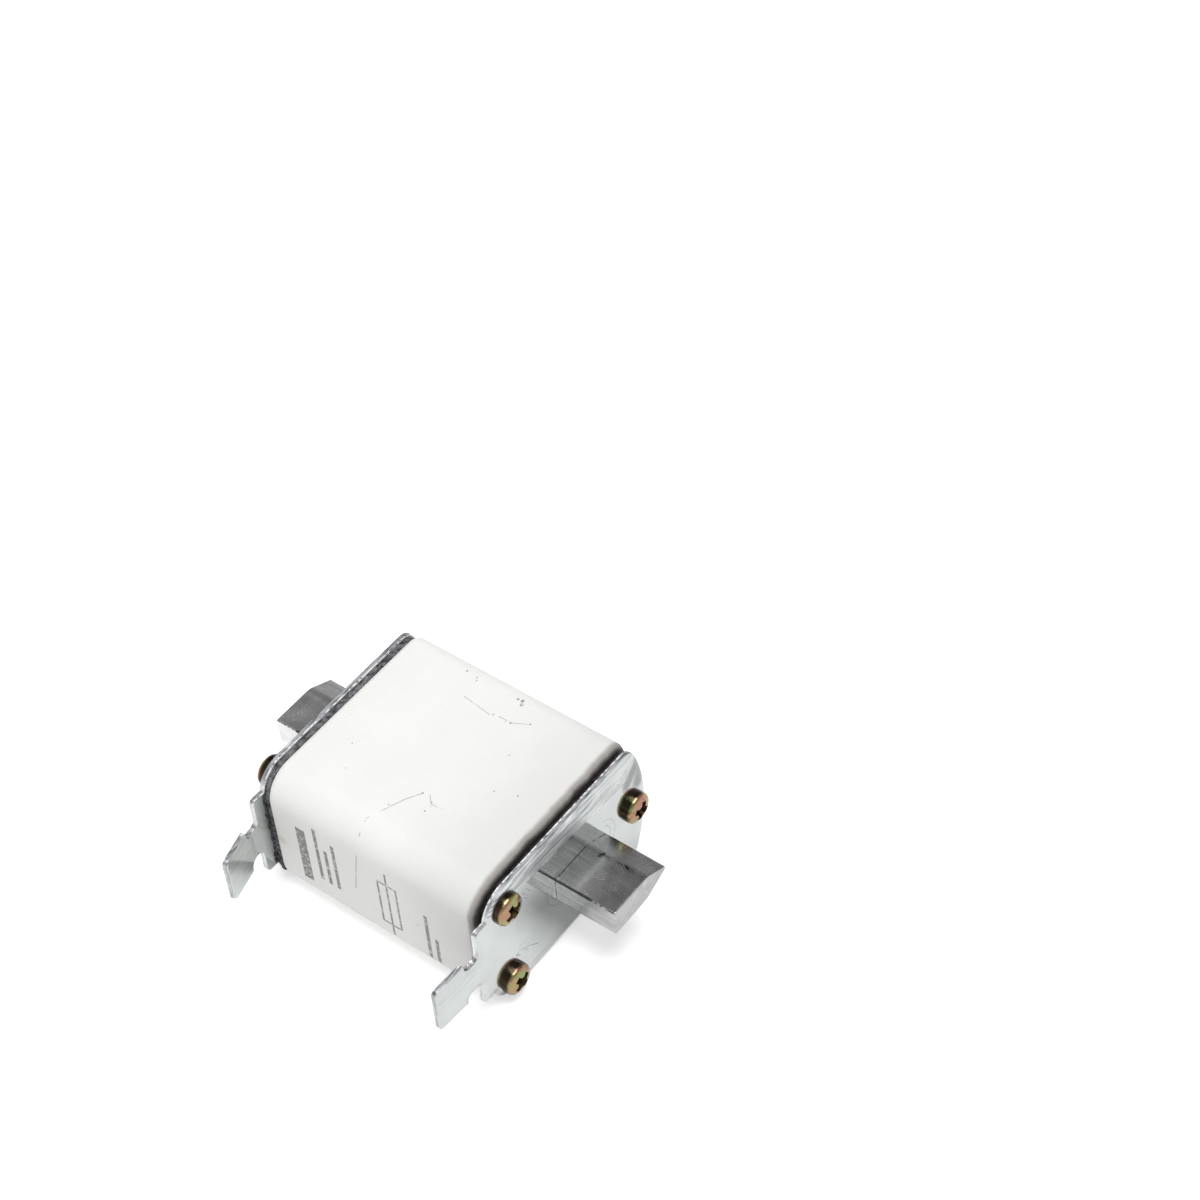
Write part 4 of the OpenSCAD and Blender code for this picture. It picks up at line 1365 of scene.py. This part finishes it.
def studio_floor():
    """Pale floor that shows white round the object and keeps its soft shadow."""
    corners = [(-1, -1), (1, -1), (1, 1), (-1, 1)]
    data = bpy.data.meshes.new("floor")
    data.from_pydata([(x * FLOOR_HALF, y * FLOOR_HALF, 0) for x, y in corners],
                     [], [(0, 1, 2, 3)])
    floor = bpy.data.objects.new("floor", data)
    bpy.context.scene.collection.objects.link(floor)
    material = bpy.data.materials.new("pale_floor")
    material.use_nodes = True
    tree = Tree(material.node_tree)
    material.node_tree.nodes.remove(material.node_tree.nodes["Principled BSDF"])
    seen, mirrored = seen_and_mirrored(tree)
    glow = tree.feed(tree.add("ShaderNodeEmission"), {
        "Strength": tree.math("MULTIPLY_ADD", seen, SEEN_GLOW,
                              tree.math("MULTIPLY", mirrored, MIRRORED_GLOW))})
    matt = tree.feed(tree.add("ShaderNodeBsdfDiffuse"), {"Color": (0.9, 0.9, 0.9, 1)})
    both = tree.feed(tree.add("ShaderNodeAddShader"), {0: matt.outputs[0], 1: glow.outputs[0]})
    tree.link(both.outputs[0], material.node_tree.nodes["Material Output"].inputs["Surface"])
    data.materials.append(material)


def studio_world():
    """Soft light from all round, dim overhead and behind the object, and seen as white."""
    world = bpy.data.worlds.new("studio")
    bpy.context.scene.world = world
    world.use_nodes = True
    tree = Tree(world.node_tree)
    direction = tree.add("ShaderNodeTexCoord").outputs["Generated"]
    light = tree.ramp(tree.split(direction)["Z"], 0.0, 0.7, SKY_HORIZON, SKY_OVERHEAD)
    towards = tree.vector("DOT_PRODUCT", direction, SKY_DARK_SIDE, out="Value")
    light = tree.times(light, tree.ramp(towards, 0.6, 0.9, 1.0, SKY_DARK))
    seen, mirrored = seen_and_mirrored(tree)
    light = tree.math("MULTIPLY_ADD", mirrored, MIRRORED_GLOW, light)
    tree.feed(world.node_tree.nodes["Background"], {
        "Color": (1.0, 1.0, 1.0, 1.0), "Strength": tree.math("MAXIMUM", light, seen)})


def key_light(direction, spread, strength):
    """Wide soft light from far away, from one side."""
    data = bpy.data.lights.new("key", "SUN")
    data.angle = math.radians(spread)
    data.energy = strength
    light = bpy.data.objects.new("key", data)
    light.rotation_euler = Vector(direction).to_track_quat("Z", "Y").to_euler()
    bpy.context.scene.collection.objects.link(light)


# The photograph's camera, found by fitting known corners of the object: its place in metres,
# and which way its picture's right side and foot and its lens point.

CAMERA_PLACE = (0.2058, -0.2075, 0.3751)
CAMERA_RIGHT = (0.8024, 0.5949, -0.0482)
CAMERA_DOWN = (0.4085, -0.6062, -0.6824)
CAMERA_FORWARD = (-0.4351, 0.5279, -0.7294)
LENS_MM = 76.0
SENSOR_MM = 36.0


def camera():
    """Camera at the photograph's place, with its lens."""
    data = bpy.data.cameras.new("camera")
    data.sensor_fit = "HORIZONTAL"
    data.sensor_width = SENSOR_MM
    data.lens = LENS_MM
    data.clip_start = 0.01
    view = bpy.data.objects.new("camera", data)
    turn = Matrix((Vector(CAMERA_RIGHT), -Vector(CAMERA_DOWN), -Vector(CAMERA_FORWARD)))
    view.matrix_world = Matrix.Translation(CAMERA_PLACE) @ turn.transposed().to_4x4()
    bpy.context.scene.collection.objects.link(view)
    bpy.context.scene.camera = view


def dress(piece, slot, material, *nodes):
    """Gives a piece its material and puts it in the place of its CAD nodes."""
    piece.data.materials.clear()
    piece.data.materials.append(material)
    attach(piece, "root")
    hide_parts(*nodes)


def repaint(name, material):
    """Gives a CAD node that stays its own material."""
    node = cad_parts[name]
    node.data.materials.clear()
    node.data.materials.append(material)


bpy.context.scene.view_settings.view_transform = "Standard"
camera()
studio_floor()
studio_world()
key_light(KEY_SIDE, KEY_SPREAD, KEY_STRENGTH)

dress(ceramic_housing(), "ceramic", glazed_ceramic(), "ceramic_body")
# The right gasket's fibre is a darker copy of the left one's: painted shade for the gap it sits in.
fibre = {"left": gasket_fibre("grey_fibre", (0.055, 0.055, 0.06), (0.21, 0.21, 0.215),
                              (0.42, 0.42, 0.42)),
         "right": gasket_fibre("shaded_fibre", (0.012, 0.011, 0.011), (0.05, 0.047, 0.045),
                               (0.11, 0.105, 0.1))}
zinc = bright_zinc()
# The left blade's finish is a lighter copy of the right one's: painted light, the same plated
# copper shown brighter.
satin = {"left": satin_blade("lighter_blade_copy", (0.80, 0.80, 0.805), (0.93, 0.93, 0.93), 0.4),
         "right": satin_blade("satin_blade", (0.41, 0.41, 0.415), (0.53, 0.53, 0.53), 0.25)}
for end in ("left", "right"):
    dress(fibre_gasket(end), "gasket", fibre[end], "gasket_" + end)
    dress(end_plate(end), "plate", zinc, "end_plate_" + end)
    dress(contact_blade(end), "blade", satin[end], "blade_" + end)
dress(pressed_plug(), "plug", pressed_aluminium(), "filling_plug")
chromate = yellow_chromate()
dress(plate_screws(chromate), "screw", chromate,
      "screw_left_low", "screw_left_high", "screw_left_back",
      "screw_right_low", "screw_right_high", "screw_right_back")
repaint("quartz_sand", inner_finish("quartz_grains", (0.5, 0.44, 0.34), (0.72, 0.66, 0.55),
                                    1800, 0.0, 0.8))
repaint("fuse_element", inner_finish("rolled_copper", (0.6, 0.28, 0.16), (0.8, 0.42, 0.26),
                                     900, 1.0, 0.35))
repaint("solder_bridge", inner_finish("tin_solder", (0.5, 0.5, 0.5), (0.68, 0.68, 0.67),
                                      1200, 1.0, 0.4))
